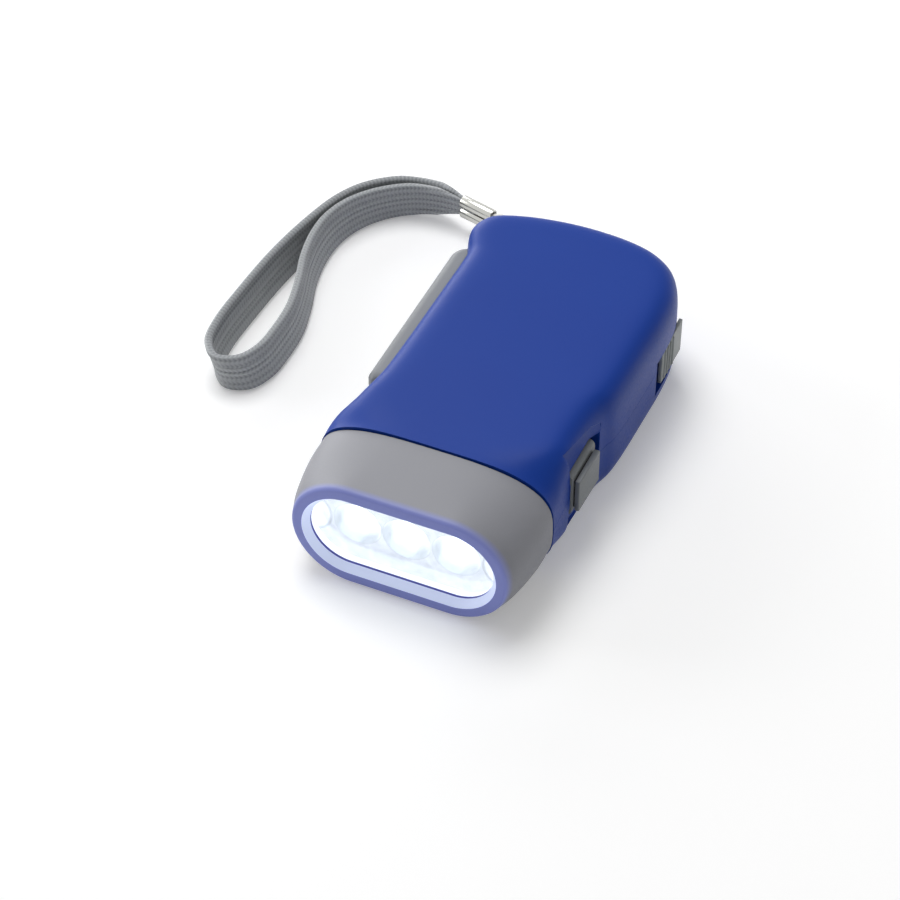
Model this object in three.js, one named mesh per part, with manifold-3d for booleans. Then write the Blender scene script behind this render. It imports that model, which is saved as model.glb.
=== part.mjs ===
// A hand-press dynamo torch, lying flat: squeeze lever, gear train, generator, lamp, switch, lock and strap.
// Millimetres, +Z up, the lamp towards -Y. Everything is drawn from the lamp's front face, then moved so
// that the origin is under the middle of the torch.

import * as THREE from 'three';
import { mergeVertices } from 'three/addons/utils/BufferGeometryUtils.js';
import Module from 'manifold-3d';

const wasm = await Module();
wasm.setup();

// Driving dimensions

const torch = { length: 105.2, thickness: 28, jointHalfWidth: 27.7 };
const midHeight = torch.thickness / 2;
const wall = 1.8;
const gap = 0.3; // between pieces that rest on each other
const runningGap = 0.2; // round a shaft
const overrun = 1; // how far a cut runs past what it cuts
const clear = torch.length + overrun; // a distance beyond everything

const bezel = {
  length: 19.5,
  frontHalfWidth: 25.25,
  frontRadius: 13.8,
  openingHalfWidth: 22.7,
  openingRadius: 10.9,
  seatHalfWidth: 21.4,
  seatRadius: 9.35,
  bevelDepth: 1.7,
  lipDepth: 2.3,
  lipRound: 0.9,
  cavityHalfWidth: 23,
  cavityRadius: 11.1,
  cavityEnd: 12,
  rearHalfHeight: 13.55,
  squareness: 3.1,
  tenonLength: 2.2,
  tenonWall: 1.4,
  tenonInset: 2.8,
};

const lens = { thickness: 1.8, halfWidth: 22.6, radius: 10.7 };
const lampPitch = 11.6;
const cup = { radius: 5.6, depth: 8.4, throat: 3.1 };
const reflector = { depth: 9.6, halfWidth: 22.2, radius: 10.3 };
const led = { radius: 2.5, length: 8.6, flangeRadius: 2.8, flangeLength: 1 };
const ledBoard = { thickness: 1.2, halfWidth: 20.5, radius: 5.4 };

const pin = { radius: 1.5, gearRadius: 0.9, seatDepth: 1.5, bossWall: 1.4, hingeBossWall: 0.7 };

const lever = {
  pivotX: -18.6,
  pivotY: 26.6,
  outerX: -26.5,
  innerX: -20.3,
  frontY: 41,
  rearY: 91.8,
  rearRound: 4.6,
  height: 16,
  edgeRound: 2.4,
  frontChamfer: 1.2,
  bossRadius: 3.4,
  neckHeight: 10,
  neckStep: 1.9,
  neckOverlap: 3.4,
  skin: 1.6,
  slotEnd: 1.7,
  slotClearance: 0.45,
};

const rack = {
  teeth: 122,
  module: 1,
  startAngle: -4,
  endAngle: 42.5,
  footAngle: 5,
  band: 3.5,
  height: 4,
};

const train = {
  pinionTeeth: 12,
  fineModule: 0.6,
  firstWheelTeeth: 34,
  secondPinionTeeth: 17,
  secondWheelTeeth: 42,
  rotorPinionTeeth: 14,
  meshAngle: 13.5,
  secondAngle: 40,
  rotorAngle: -15,
  wheelThickness: 2.5,
  lowerLevel: 7,
  upperLevel: 17,
  hubRadius: 2.4,
};

// The one-way clutch: a ratchet on the second pinion's hub turns the second wheel through two pawls.
const ratchet = { teeth: 9, radius: 4.6, depth: 1, cupRadius: 6.4, cupFloor: 0.9, pawlLength: 3.4 };

const generator = {
  radius: 9.6,
  height: 12.4,
  magnetRadius: 5.9,
  magnetHeight: 7,
  airGap: 0.7,
  plate: 0.8,
  claws: 6,
  clawShare: 0.4, // of the space between two claws' middles
  coilInner: 7.8,
  flywheelRadius: 7.6,
  flywheelHeight: 1.6,
};

const spring = { wire: 0.35, radius: 3.1, turns: 1.5, pitch: 1.2, leg: 3, stepsPerTurn: 8, sides: 5 };
const cell = {
  radius: 10,
  thickness: 3.2,
  x: 8.5,
  y: 33,
  underside: 2.6,
  edge: 0.6,
  ringWall: 0.7,
  ringTop: 6,
};
const board = { thickness: 1.2, left: -5.8, right: 22.4, front: 23.5, rear: 41, above: 0.6 };
const slideSwitch = { width: 5, length: 10, height: 6 };

const button = {
  travel: 2,
  baseFrontY: 31,
  baseLength: 12.8,
  baseHeight: 12,
  baseFrontX: 27.4,
  baseRearX: 27.5,
  baseRound: 1.7,
  capSetback: 0.4,
  capLength: 11.2,
  capHeight: 8.8,
  capFrontX: 28.9,
  capRearX: 29.2,
  capRound: 0.3,
  windowClearance: 0.4,
  flangeCover: 0.5,
  flangeX: 23.8,
  flangeThickness: 1,
};
const toggle = { width: 2, reach: 2, height: 2 };
const yoke = { width: 1, reach: 1.4, height: 2.4 };
const facet = { x: 26.1, rim: 0.5, flatRise: 1.2, flatHalfHeight: 2.5 };
// The facet's sections from front to rear: how far along it, how far out its face is, and where its edge is.
const facetSections = [
  { alongShare: 0, out: 0, edgeOut: -1.5, edgeHalfHeight: 11.7 },
  { alongShare: 0.78, out: 0, edgeOut: 0.3, edgeHalfHeight: 10 },
  { alongShare: 1, out: 1.6, edgeOut: 1.3, edgeHalfHeight: 8.5 },
];

const lock = {
  travel: 4,
  frontY: 80,
  length: 13,
  height: 9.4,
  drop: 2.2,
  thickness: 0.9,
  seatX: 28.6,
  stemSetback: 4.4,
  stemLength: 4.4,
  armThickness: 2.4,
  hookWidth: 2,
  hookAngle: 37.4,
  hookHeight: 3,
  hookReach: 2.5,
  clearance: 1.2,
  ribs: 4,
  ribPitch: 1.7,
  ribRadius: 0.35,
};

const screw = {
  headRadius: 2.5,
  headHeight: 1.7,
  shankRadius: 1.1,
  length: 19,
  sink: 0.8,
  crossWidth: 0.8,
  crossDepth: 0.7,
  crossReach: 1.75,
};

const strapPin = { x: -15.5, y: 98.6, radius: 0.9, length: 12 };
const eyelet = { width: 5, height: 5.4 };
const string = { radius: 0.55 };
const crimp = { height: 7.3, radius: 1.6, barrelOffset: 1.55, waist: 1.45, thickness: 0.35, slit: 0.4 };
const webbing = {
  width: 9.6,
  thickness: 1.8,
  squeezedHalf: 0.42,
  squeezedGap: 0.1,
  lean: 1.3,
  leanStartShare: 0.06,
  leanFullShare: 0.26,
};

// How many flats stand for a round, by its use.
const sides = { boss: 20, pin: 16, screw: 12, post: 12, ring: 36, cup: 22, led: 16, rib: 8, cell: 32 };
const buttonRoundSteps = 4;

// Materials

function finish(color, roughness, metalness = 0) {
  return new THREE.MeshStandardMaterial({ color, roughness, metalness });
}

const finishes = {
  blue: finish(0x2a459c, 0.38),
  grey: finish(0x8b8d92, 0.5),
  darkGrey: finish(0x6b6e70, 0.5),
  clear: finish(0xf2f6ff, 0.08),
  chrome: finish(0xe8eaee, 0.12, 1),
  ledClear: finish(0xfdfdff, 0.15),
  boardGreen: finish(0x2f6b44, 0.5),
  acetal: finish(0xe6e4dc, 0.45),
  black: finish(0x202124, 0.5),
  steel: finish(0xb9bcc0, 0.3, 1),
  copper: finish(0xb4673a, 0.35, 1),
  ferrite: finish(0x3a3a3d, 0.6, 0.3),
  webbing: finish(0x85888c, 0.95),
};

// Solids

function toSolid(geometry) {
  const bare = geometry.index ? geometry.toNonIndexed() : geometry.clone();
  bare.deleteAttribute('normal');
  bare.deleteAttribute('uv');
  const merged = mergeVertices(bare, 1e-5);
  return new wasm.Manifold(
    new wasm.Mesh({
      numProp: 3,
      vertProperties: new Float32Array(merged.attributes.position.array),
      triVerts: new Uint32Array(merged.index.array),
    }),
  );
}

function toGeometry(solid) {
  const mesh = solid.getMesh();
  const geometry = new THREE.BufferGeometry();
  geometry.setAttribute('position', new THREE.BufferAttribute(new Float32Array(mesh.vertProperties), 3));
  geometry.setIndex(new THREE.BufferAttribute(new Uint32Array(mesh.triVerts), 1));
  geometry.computeVertexNormals();
  return geometry;
}

const join = (first, ...others) => others.reduce((sum, one) => sum.add(one), first);
const cut = (first, ...others) => others.reduce((rest, one) => rest.subtract(one), first);
const spread = (middle, size) => [middle - size / 2, middle + size / 2];

// A solid between two opposite corners.
function block(low, high) {
  const size = high.map((value, i) => value - low[i]);
  const middle = high.map((value, i) => (value + low[i]) / 2);
  return toSolid(new THREE.BoxGeometry(...size).translate(...middle));
}

// A block given by its low and high limit along each axis.
const blockOf = (xs, ys, zs) => block([xs[0], ys[0], zs[0]], [xs[1], ys[1], zs[1]]);

// An upright cylinder.
function post({ x, y }, radius, low, high, sideCount) {
  const geometry = new THREE.CylinderGeometry(radius, radius, high - low, sideCount);
  return toSolid(geometry.rotateX(Math.PI / 2).translate(x, y, (low + high) / 2));
}

// An upright tube.
function ring(place, inner, outer, low, high, sideCount = sides.ring) {
  const bore = post(place, inner, low - overrun, high + overrun, sideCount);
  return cut(post(place, outer, low, high, sideCount), bore);
}

// An upright prism over a plan outline.
function prism(outline, low, high) {
  const options = { depth: high - low, bevelEnabled: false };
  const geometry = new THREE.ExtrudeGeometry(new THREE.Shape(outline), options);
  return toSolid(geometry.translate(0, 0, low));
}

// A turned solid about an upright axis, from a profile of [radius, height] that starts and ends on the axis.
function turned(profile, { x, y }, sideCount) {
  const points = profile.map(([radius, height]) => new THREE.Vector2(radius, height));
  return toSolid(new THREE.LatheGeometry(points, sideCount).rotateX(Math.PI / 2).translate(x, y, 0));
}

// A turned solid about an axis along Y at the torch's middle height, from a profile of [radius, depth].
function turnedAlongY(profile, x, sideCount) {
  const points = profile.map(([radius, depth]) => new THREE.Vector2(radius, depth));
  return toSolid(new THREE.LatheGeometry(points, sideCount).translate(x, 0, midHeight));
}

// A skin over rings of points, closed at both ends by a fan about the ring's middle.
function loft(rings) {
  const count = rings[0].length;
  const sum = (points) => points.reduce((total, point) => total.add(point), new THREE.Vector3());
  const middles = [rings[0], rings[rings.length - 1]].map((points) => sum(points).divideScalar(count));
  const points = [...rings.flat(), ...middles];
  const lastRing = (rings.length - 1) * count;
  const [startMiddle, endMiddle] = [points.length - 2, points.length - 1];
  const index = [];
  for (let i = 0; i < count; i++) {
    const next = (i + 1) % count;
    for (let at = 0; at < lastRing; at += count) {
      index.push(at + i, at + next, at + i + count, at + next, at + next + count, at + i + count);
    }
    index.push(startMiddle, next, i, endMiddle, lastRing + i, lastRing + next);
  }
  const geometry = new THREE.BufferGeometry().setFromPoints(points);
  geometry.setIndex(index);
  return toSolid(geometry);
}

// A round tube through points.
function tube(points, radius, sideCount, stepsPerPoint = 1) {
  const curve = new THREE.CatmullRomCurve3(points, false, 'centripetal');
  const outline = [];
  for (let i = 0; i < sideCount; i++) outline.push(polar(radius, (2 * Math.PI * i) / sideCount));
  const options = { steps: (points.length - 1) * stepsPerPoint, bevelEnabled: false, extrudePath: curve };
  return toSolid(new THREE.ExtrudeGeometry(new THREE.Shape(outline), options));
}

// Plan geometry

const vector = (x, y) => new THREE.Vector2(x, y);
const polar = (radius, angle) => vector(radius * Math.cos(angle), radius * Math.sin(angle));
const shifted = (outline, place) => outline.map((point) => point.clone().add(place));

// The direction at an angle in degrees, clockwise from +Y.
function towards(degrees) {
  const angle = THREE.MathUtils.degToRad(degrees);
  return vector(Math.sin(angle), Math.cos(angle));
}

const offsetFrom = (place, degrees, distance) => place.clone().addScaledVector(towards(degrees), distance);

// Gear teeth: the half angle of a tooth at a radius, from the involute of its base circle.
const pressureAngle = THREE.MathUtils.degToRad(20);
const backlashShare = 0.05; // of a tooth's thickness, on each gear
const addendumShare = 0.9; // of the module
const dedendumShare = 1.2; // of the module
const involute = (angle) => Math.tan(angle) - angle;

function halfToothAngle(teeth, module, radius, thicknessShare) {
  const base = ((teeth * module) / 2) * Math.cos(pressureAngle);
  const at = Math.acos(Math.min(1, base / Math.max(radius, base)));
  return (Math.PI / (2 * teeth)) * thicknessShare + involute(pressureAngle) - involute(at);
}

// The outline of a spur gear with one tooth centred on an angle from +X.
function gearOutline(teeth, module, turn, place) {
  const pitch = (teeth * module) / 2;
  const half = (radius) => halfToothAngle(teeth, module, radius, 1 - backlashShare);
  const root = pitch - dedendumShare * module;
  const tip = pitch + addendumShare * module;
  const points = [];
  for (let i = 0; i < teeth; i++) {
    const centre = turn + (2 * Math.PI * i) / teeth;
    for (const radius of [root, tip]) points.push(polar(radius, centre - half(radius)));
    for (const radius of [tip, root]) points.push(polar(radius, centre + half(radius)));
  }
  return shifted(points, place);
}

// The direction from one axle to another, and the turn that puts a tooth space of the second gear on it.
const lineAngle = (from, to) => Math.atan2(to.y - from.y, to.x - from.x);
const spaceFacing = (teeth, from, to) => lineAngle(to, from) + Math.PI / teeth;

// Places and levels that several pieces share

const caseFrontY = bezel.length + gap;
const caseLength = torch.length - caseFrontY;

const pivot = vector(lever.pivotX, lever.pivotY);
const leverLevels = spread(midHeight, lever.height);
const neckLevels = spread(midHeight, lever.neckHeight);
const rackLevels = spread(midHeight, rack.height);
const rackPitchRadius = (rack.teeth * rack.module) / 2;
const rackRootRadius = rackPitchRadius + dedendumShare * rack.module;
const rackOuterRadius = rackRootRadius + rack.band;

const rackEnd = offsetFrom(pivot, rack.endAngle, rackPitchRadius);

const meshDistance = (teeth, otherTeeth) => ((teeth + otherTeeth) * train.fineModule) / 2;
const pinionPitchRadius = (train.pinionTeeth * rack.module) / 2;
const firstAxle = offsetFrom(pivot, train.meshAngle, rackPitchRadius - pinionPitchRadius);
const secondDistance = meshDistance(train.firstWheelTeeth, train.secondPinionTeeth);
const secondAxle = offsetFrom(firstAxle, 180 - train.secondAngle, secondDistance);
const rotorDistance = meshDistance(train.secondWheelTeeth, train.rotorPinionTeeth);
const rotorAxle = offsetFrom(secondAxle, 180 - train.rotorAngle, rotorDistance);
const lowerWheelTop = train.lowerLevel + train.wheelThickness;
const upperWheelTop = train.upperLevel + train.wheelThickness;
const lowerSeat = train.lowerLevel - gap;
const upperSeat = upperWheelTop + gap;

const statorLevels = [wall + gap, wall + gap + generator.height];
const cellPlace = vector(cell.x, cell.y);
const cellTop = cell.underside + 2 * cell.thickness + gap;
const boardLevels = [cellTop + board.above, cellTop + board.above + board.thickness];

const capFrontY = button.baseFrontY + button.capSetback;
const windowYs = [
  button.baseFrontY - button.windowClearance,
  button.baseFrontY + button.baseLength + button.travel + gap,
];
const windowHeight = button.baseHeight + 2 * button.windowClearance;
const flangeYs = [windowYs[0] - button.travel - gap, windowYs[1] + gap];
const flangeHeight = windowHeight + 2 * button.flangeCover;
const flangeInnerX = button.flangeX - button.flangeThickness;
const toggleFrontY = capFrontY + (button.capLength - toggle.width - button.travel) / 2;

const lockStemYs = [lock.frontY + lock.stemSetback, lock.frontY + lock.stemSetback + lock.stemLength];
const lockLevels = spread(midHeight - lock.drop, lock.height);
const hookLevels = spread(midHeight, lock.hookHeight);
const lockFaceX = lock.seatX + gap + lock.thickness;

const strapPlace = vector(strapPin.x, strapPin.y);
const strapPinLevels = spread(midHeight, strapPin.length);

// Case screws: across as a share of the joint's half width, along as a share of the case's length.
const screwPlaceShares = [
  [0.758, 0.436],
  [0.56, 0.9],
  [-0.18, 0.918],
  [-0.397, 0.178],
];
const screwPlaces = screwPlaceShares.map(([across, along]) =>
  vector(across * torch.jointHalfWidth, caseFrontY + along * caseLength),
);
const screwBossRadius = screw.headRadius + pin.bossWall;
const screwTubeRadius = screw.shankRadius + gap + pin.bossWall;
const screwTop = screw.sink + screw.headHeight + screw.length;

// Posts under the circuit board, set in from its corners.
const boardPosts = [
  vector(board.left + pin.radius, board.front + pin.radius),
  vector(board.left + pin.radius, board.rear - pin.radius),
  vector(board.right - screw.headRadius, board.front + pin.radius),
];

// Case

// The case's plan, front left to front right round the rear, as shares of the joint's half width across
// and of the case's length from the joint.
const caseOutlineShares = [
  [-1, 0],
  [-0.998, 0.03],
  [-0.97, 0.062],
  [-0.92, 0.093],
  [-0.874, 0.128],
  [-0.846, 0.175],
  [-0.834, 0.25],
  [-0.83, 0.4],
  [-0.824, 0.57],
  [-0.812, 0.7],
  [-0.808, 0.775],
  [-0.845, 0.815],
  [-0.875, 0.86],
  [-0.857, 0.905],
  [-0.785, 0.943],
  [-0.62, 0.969],
  [-0.4, 0.987],
  [-0.12, 0.997],
  [0.15, 1],
  [0.45, 0.991],
  [0.72, 0.965],
  [0.93, 0.913],
  [1.05, 0.83],
  [1.085, 0.73],
  [1.08, 0.58],
  [1.07, 0.45],
  [1.05, 0.375],
  [1.008, 0.325],
  [0.982, 0.27],
  [0.972, 0.19],
  [0.98, 0.1],
  [1, 0],
];
const caseOutlineSteps = 56;

// The case's skin draws in towards its spine as it nears the top and the underside.
const spine = { x: 2.5, rearSetback: 25.2 };
const crown = { frontReach: 27, rearReach: 14, blendLength: 13, frontSquareness: 3.1, rearSquareness: 5.2 };
const crownLevelShares = [0, 0.5, 0.74, 0.88, 0.95, 0.985];
const mostDrawShare = 0.9; // of the way to the spine

function caseOutline() {
  const points = caseOutlineShares.map(([across, along]) =>
    vector(across * torch.jointHalfWidth, caseFrontY + along * caseLength),
  );
  const curve = new THREE.SplineCurve(points).getSpacedPoints(caseOutlineSteps);
  const front = caseFrontY - overrun;
  return [...curve, vector(curve[caseOutlineSteps].x, front), vector(curve[0].x, front)].reverse();
}

// How far the case's skin has drawn in at a share of its half height.
function crownInset(share, y) {
  const t = THREE.MathUtils.smoothstep(y, caseFrontY, caseFrontY + crown.blendLength);
  const reach = THREE.MathUtils.lerp(crown.frontReach, crown.rearReach, t);
  const power = THREE.MathUtils.lerp(crown.frontSquareness, crown.rearSquareness, t);
  return reach * (1 - (1 - share ** power) ** (1 / power));
}

// The case as a solid, drawn in by an inset all round.
function caseSolid(inset) {
  const outline = caseOutline();
  const spineEnd = torch.length - spine.rearSetback;
  const topShare = crownLevelShares[crownLevelShares.length - 1];
  const below = crownLevelShares.slice(1).reverse();
  const levelShares = [...below.map((share) => -share), ...crownLevelShares];
  const rings = levelShares.map((share) => {
    const height = midHeight + (share / topShare) * (midHeight - inset);
    return outline.map((point) => {
      const inward = vector(spine.x, Math.min(point.y, spineEnd)).sub(point);
      const draw = Math.min(inset + crownInset(Math.abs(share), point.y), mostDrawShare * inward.length());
      const at = point.clone().addScaledVector(inward.normalize(), draw);
      return new THREE.Vector3(at.x, at.y, height);
    });
  });
  return loft(rings);
}

function leverSlot() {
  const xs = [lever.outerX - overrun, lever.innerX + overrun];
  const heights = spread(midHeight, lever.height + 2 * lever.slotClearance);
  return blockOf(xs, [lever.pivotY, lever.rearY + lever.slotEnd], heights);
}

// The facet round the switch: its faces slope in above and below, and turn out towards the case's bulge.
function switchFacet() {
  const front = windowYs[0] - facet.rim;
  const length = windowYs[1] + facet.rim - front;
  const far = torch.thickness;
  const rings = facetSections.map(({ alongShare, out, edgeOut, edgeHalfHeight }) => {
    const upper = [
      [facet.flatRise + out, facet.flatHalfHeight],
      [out, flangeHeight / 2],
      [edgeOut, edgeHalfHeight],
      [far, edgeHalfHeight + far],
    ];
    const lower = upper.map(([across, up]) => [across, -up]).reverse();
    return [...lower, ...upper].map(
      ([across, up]) => new THREE.Vector3(facet.x + across, front + alongShare * length, midHeight + up),
    );
  });
  return loft(rings);
}

function sideOpenings() {
  const window = blockOf([flangeInnerX, clear], windowYs, spread(midHeight, windowHeight));
  const stemYs = [lockStemYs[0] - lock.travel - gap, lockStemYs[1] + gap];
  const stemSlot = blockOf([rackEnd.x, clear], stemYs, spread(midHeight, lock.hookHeight + 2 * gap));
  const seatYs = [lock.frontY - lock.travel - gap, lock.frontY + lock.length + gap];
  const lockSeat = blockOf([lock.seatX, clear], seatYs, spread(midHeight - lock.drop, lock.height + 2 * gap));
  const eyeletHole = blockOf(
    spread(strapPin.x, eyelet.width),
    [strapPin.y, clear],
    spread(midHeight, eyelet.height),
  );
  return [switchFacet(), window, stemSlot, lockSeat, eyeletHole];
}

function casing() {
  const outside = caseSolid(0);
  const front = block([-clear, -clear, -clear], [clear, caseFrontY, clear]);
  const whole = cut(outside, caseSolid(wall), front, leverSlot(), ...sideOpenings());
  const lower = whole.intersect(block([-clear, -clear, -clear], [clear, clear, midHeight - gap / 2]));
  const upper = whole.intersect(block([-clear, -clear, midHeight + gap / 2], [clear, clear, clear]));
  return { lower, upper, outside };
}

const bossRoot = wall / 2; // how far into the wall a boss starts
const hingeSeat = (side) => (side < 0 ? neckLevels[0] - gap : neckLevels[1] + gap);

function lowerShell({ lower, outside }) {
  const top = midHeight - gap / 2;
  const bosses = [
    ...screwPlaces.map((place) => post(place, screwBossRadius, bossRoot, top, sides.boss)),
    post(pivot, pin.radius + pin.bossWall, bossRoot, hingeSeat(-1), sides.boss),
    post(firstAxle, pin.gearRadius + pin.bossWall, bossRoot, lowerSeat, sides.pin),
    post(secondAxle, pin.gearRadius + pin.bossWall, bossRoot, lowerSeat, sides.pin),
    post(strapPlace, strapPin.radius + pin.bossWall, bossRoot, strapPinLevels[0], sides.pin),
    ...boardPosts.map((place) => post(place, pin.radius, bossRoot, boardLevels[0] - gap, sides.post)),
    ring(cellPlace, cell.radius + gap, cell.radius + gap + cell.ringWall, bossRoot, cell.ringTop, sides.cell),
  ].map((boss) => boss.intersect(outside));
  const headSeat = screw.sink + screw.headHeight + gap;
  const bores = [
    ...screwPlaces.map((place) => post(place, screw.shankRadius + gap, -overrun, clear, sides.boss)),
    ...screwPlaces.map((place) => post(place, screw.headRadius + gap, -overrun, headSeat, sides.boss)),
    post(pivot, pin.radius + runningGap, hingeSeat(-1) - pin.seatDepth, clear, sides.boss),
    post(firstAxle, pin.gearRadius + runningGap, lowerSeat - pin.seatDepth, clear, sides.pin),
    post(secondAxle, pin.gearRadius + runningGap, lowerSeat - pin.seatDepth, clear, sides.pin),
    post(strapPlace, strapPin.radius + runningGap, strapPinLevels[0] - pin.seatDepth, clear, sides.pin),
  ];
  return cut(join(lower, ...bosses), ...bores);
}

function upperShell({ upper, outside }) {
  const roof = torch.thickness - bossRoot;
  const bosses = [
    ...screwPlaces.map((place) => post(place, screwTubeRadius, midHeight + gap / 2, roof, sides.boss)),
    post(pivot, pin.radius + pin.hingeBossWall, hingeSeat(1), roof, sides.boss),
    post(secondAxle, pin.gearRadius + pin.bossWall, upperSeat, roof, sides.pin),
    post(rotorAxle, pin.gearRadius + pin.bossWall, upperSeat, roof, sides.pin),
    post(strapPlace, strapPin.radius + pin.bossWall, strapPinLevels[1], roof, sides.pin),
  ].map((boss) => boss.intersect(outside));
  const bores = [
    ...screwPlaces.map((place) => post(place, screw.shankRadius + gap, 0, screwTop + gap, sides.boss)),
    post(pivot, pin.radius + runningGap, 0, hingeSeat(1) + pin.seatDepth, sides.boss),
    post(secondAxle, pin.gearRadius + runningGap, 0, upperSeat + pin.seatDepth, sides.pin),
    post(rotorAxle, pin.gearRadius + runningGap, 0, upperSeat + pin.seatDepth, sides.pin),
    post(strapPlace, strapPin.radius + runningGap, 0, strapPinLevels[1] + pin.seatDepth, sides.pin),
  ];
  return cut(join(upper, ...bosses), ...bores);
}

function caseScrew(place) {
  const { headRadius, headHeight, shankRadius, sink, crossWidth, crossDepth, crossReach } = screw;
  const profile = [
    [0, sink],
    [headRadius, sink],
    [headRadius, sink + headHeight],
    [shankRadius, sink + headHeight],
    [shankRadius, screwTop - shankRadius],
    [0, screwTop],
  ];
  const depths = [-overrun, sink + crossDepth];
  const bars = [
    blockOf(spread(place.x, 2 * crossReach), spread(place.y, crossWidth), depths),
    blockOf(spread(place.x, crossWidth), spread(place.y, 2 * crossReach), depths),
  ];
  return cut(turned(profile, place, sides.screw), ...bars);
}

// Lamp

const endSteps = 12;
const straightSteps = 6;

// How far a rounded section reaches from its middle in a direction.
function sectionReach(halfWidth, halfHeight, direction) {
  const across = Math.abs(Math.cos(direction) / halfWidth) ** bezel.squareness;
  const upward = Math.abs(Math.sin(direction) / halfHeight) ** bezel.squareness;
  return (across + upward) ** (-1 / bezel.squareness);
}

// The points of a stadium standing upright, clockwise from the top of its right end.
function stadiumPoints(halfWidth, radius) {
  const straight = halfWidth - radius;
  const points = [];
  for (const side of [1, -1]) {
    for (let i = 0; i <= endSteps; i++) {
      const angle = (side * Math.PI) / 2 - (Math.PI * i) / endSteps;
      points.push([side * straight + radius * Math.cos(angle), radius * Math.sin(angle)]);
    }
    for (let i = 1; i < straightSteps; i++) {
      points.push([side * straight * (1 - (2 * i) / straightSteps), -side * radius]);
    }
  }
  return points;
}

// A ring of the lamp end at a depth, between the front's stadium (blend 0) and the joint's section (blend 1).
function lampRing(depth, stadium, section = stadium, blend = 0) {
  return stadiumPoints(...stadium).map(([x, z]) => {
    const direction = Math.atan2(z, x);
    const reach = sectionReach(...section, direction);
    const acrossTo = reach * Math.cos(direction);
    const upTo = reach * Math.sin(direction);
    return new THREE.Vector3(x + (acrossTo - x) * blend, depth, midHeight + z + (upTo - z) * blend);
  });
}

function stadiumPlate({ halfWidth, radius }, front, rear) {
  return loft([front, rear].map((depth) => lampRing(depth, [halfWidth, radius])));
}

// The bezel's outside: how far back, as a share of its length, it has how much of the joint's section.
const bezelBlendShares = [
  [0, 0],
  [0.16, 0.4],
  [0.45, 0.78],
  [0.72, 0.98],
  [1, 1],
];

function bezelOutside(rear) {
  const front = [bezel.frontHalfWidth, bezel.frontRadius];
  const lip = front.map((size) => size - bezel.lipRound);
  const length = bezel.length - bezel.lipRound;
  const blended = ([depth, blend]) => lampRing(bezel.lipRound + depth * length, front, rear, blend);
  return loft([lampRing(0, lip), ...bezelBlendShares.map(blended)]);
}

// The opening narrows to the lens's seat.
function bezelOpening() {
  const size = (share) => [
    THREE.MathUtils.lerp(bezel.openingHalfWidth, bezel.seatHalfWidth, share),
    THREE.MathUtils.lerp(bezel.openingRadius, bezel.seatRadius, share),
  ];
  return loft([
    lampRing(-overrun, size(-overrun / bezel.bevelDepth)),
    lampRing(bezel.bevelDepth, size(1)),
    lampRing(bezel.lipDepth + gap, size(1)),
  ]);
}

function bezelSolid() {
  const rear = [torch.jointHalfWidth - gap / 2, bezel.rearHalfHeight];
  const inner = rear.map((size) => size - wall - 2 * gap);
  const cavity = [bezel.cavityHalfWidth, bezel.cavityRadius];
  const hollow = loft([
    lampRing(bezel.lipDepth, cavity),
    lampRing(bezel.cavityEnd, cavity),
    lampRing(bezel.length + overrun, cavity, inner, 1),
  ]);
  const tenonOuter = [torch.jointHalfWidth - bezel.tenonInset, bezel.rearHalfHeight - wall - gap];
  const tenonInner = tenonOuter.map((size) => size - bezel.tenonWall);
  const tenonYs = [bezel.length - bezel.tenonWall, bezel.length + bezel.tenonLength];
  const sleeve = (size, past) =>
    loft([lampRing(tenonYs[0] - past, size, size, 1), lampRing(tenonYs[1] + past, size, size, 1)]);
  const tenon = cut(sleeve(tenonOuter, 0), sleeve(tenonInner, overrun));
  return join(cut(bezelOutside(rear), bezelOpening(), hollow), tenon);
}

const lensFront = bezel.lipDepth + gap;
const reflectorFront = lensFront + lens.thickness + gap;
const reflectorRear = reflectorFront + reflector.depth;
const ledBoardFront = reflectorRear + gap;
const lampPlaces = [-lampPitch, 0, lampPitch];
const cupSteps = 4;
const domeSteps = 4;

// A parabolic cup, with the hole for its LED.
function cupSolid(x) {
  const profile = [
    [0, reflectorFront - overrun],
    [cup.radius, reflectorFront - overrun],
  ];
  for (let i = 0; i <= cupSteps; i++) {
    const share = i / cupSteps;
    const radius = cup.throat + (cup.radius - cup.throat) * Math.sqrt(1 - share);
    profile.push([radius, reflectorFront + cup.depth * share]);
  }
  profile.push([cup.throat, reflectorRear + overrun], [0, reflectorRear + overrun]);
  return turnedAlongY(profile, x, sides.cup);
}

function reflectorSolid() {
  return cut(stadiumPlate(reflector, reflectorFront, reflectorRear), ...lampPlaces.map(cupSolid));
}

function ledSolid(x) {
  const rear = ledBoardFront - gap;
  const tip = rear - led.length;
  const profile = [];
  for (let i = 0; i <= domeSteps; i++) {
    const angle = ((Math.PI / 2) * i) / domeSteps;
    profile.push([led.radius * Math.sin(angle), tip + led.radius * (1 - Math.cos(angle))]);
  }
  const flangeFront = rear - led.flangeLength;
  profile.push([led.radius, flangeFront], [led.flangeRadius, flangeFront]);
  profile.push([led.flangeRadius, rear], [0, rear]);
  return turnedAlongY(profile, x, sides.led);
}

// Lever

const gripRoundSteps = 6;
const gripEdgeSteps = 4;

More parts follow.
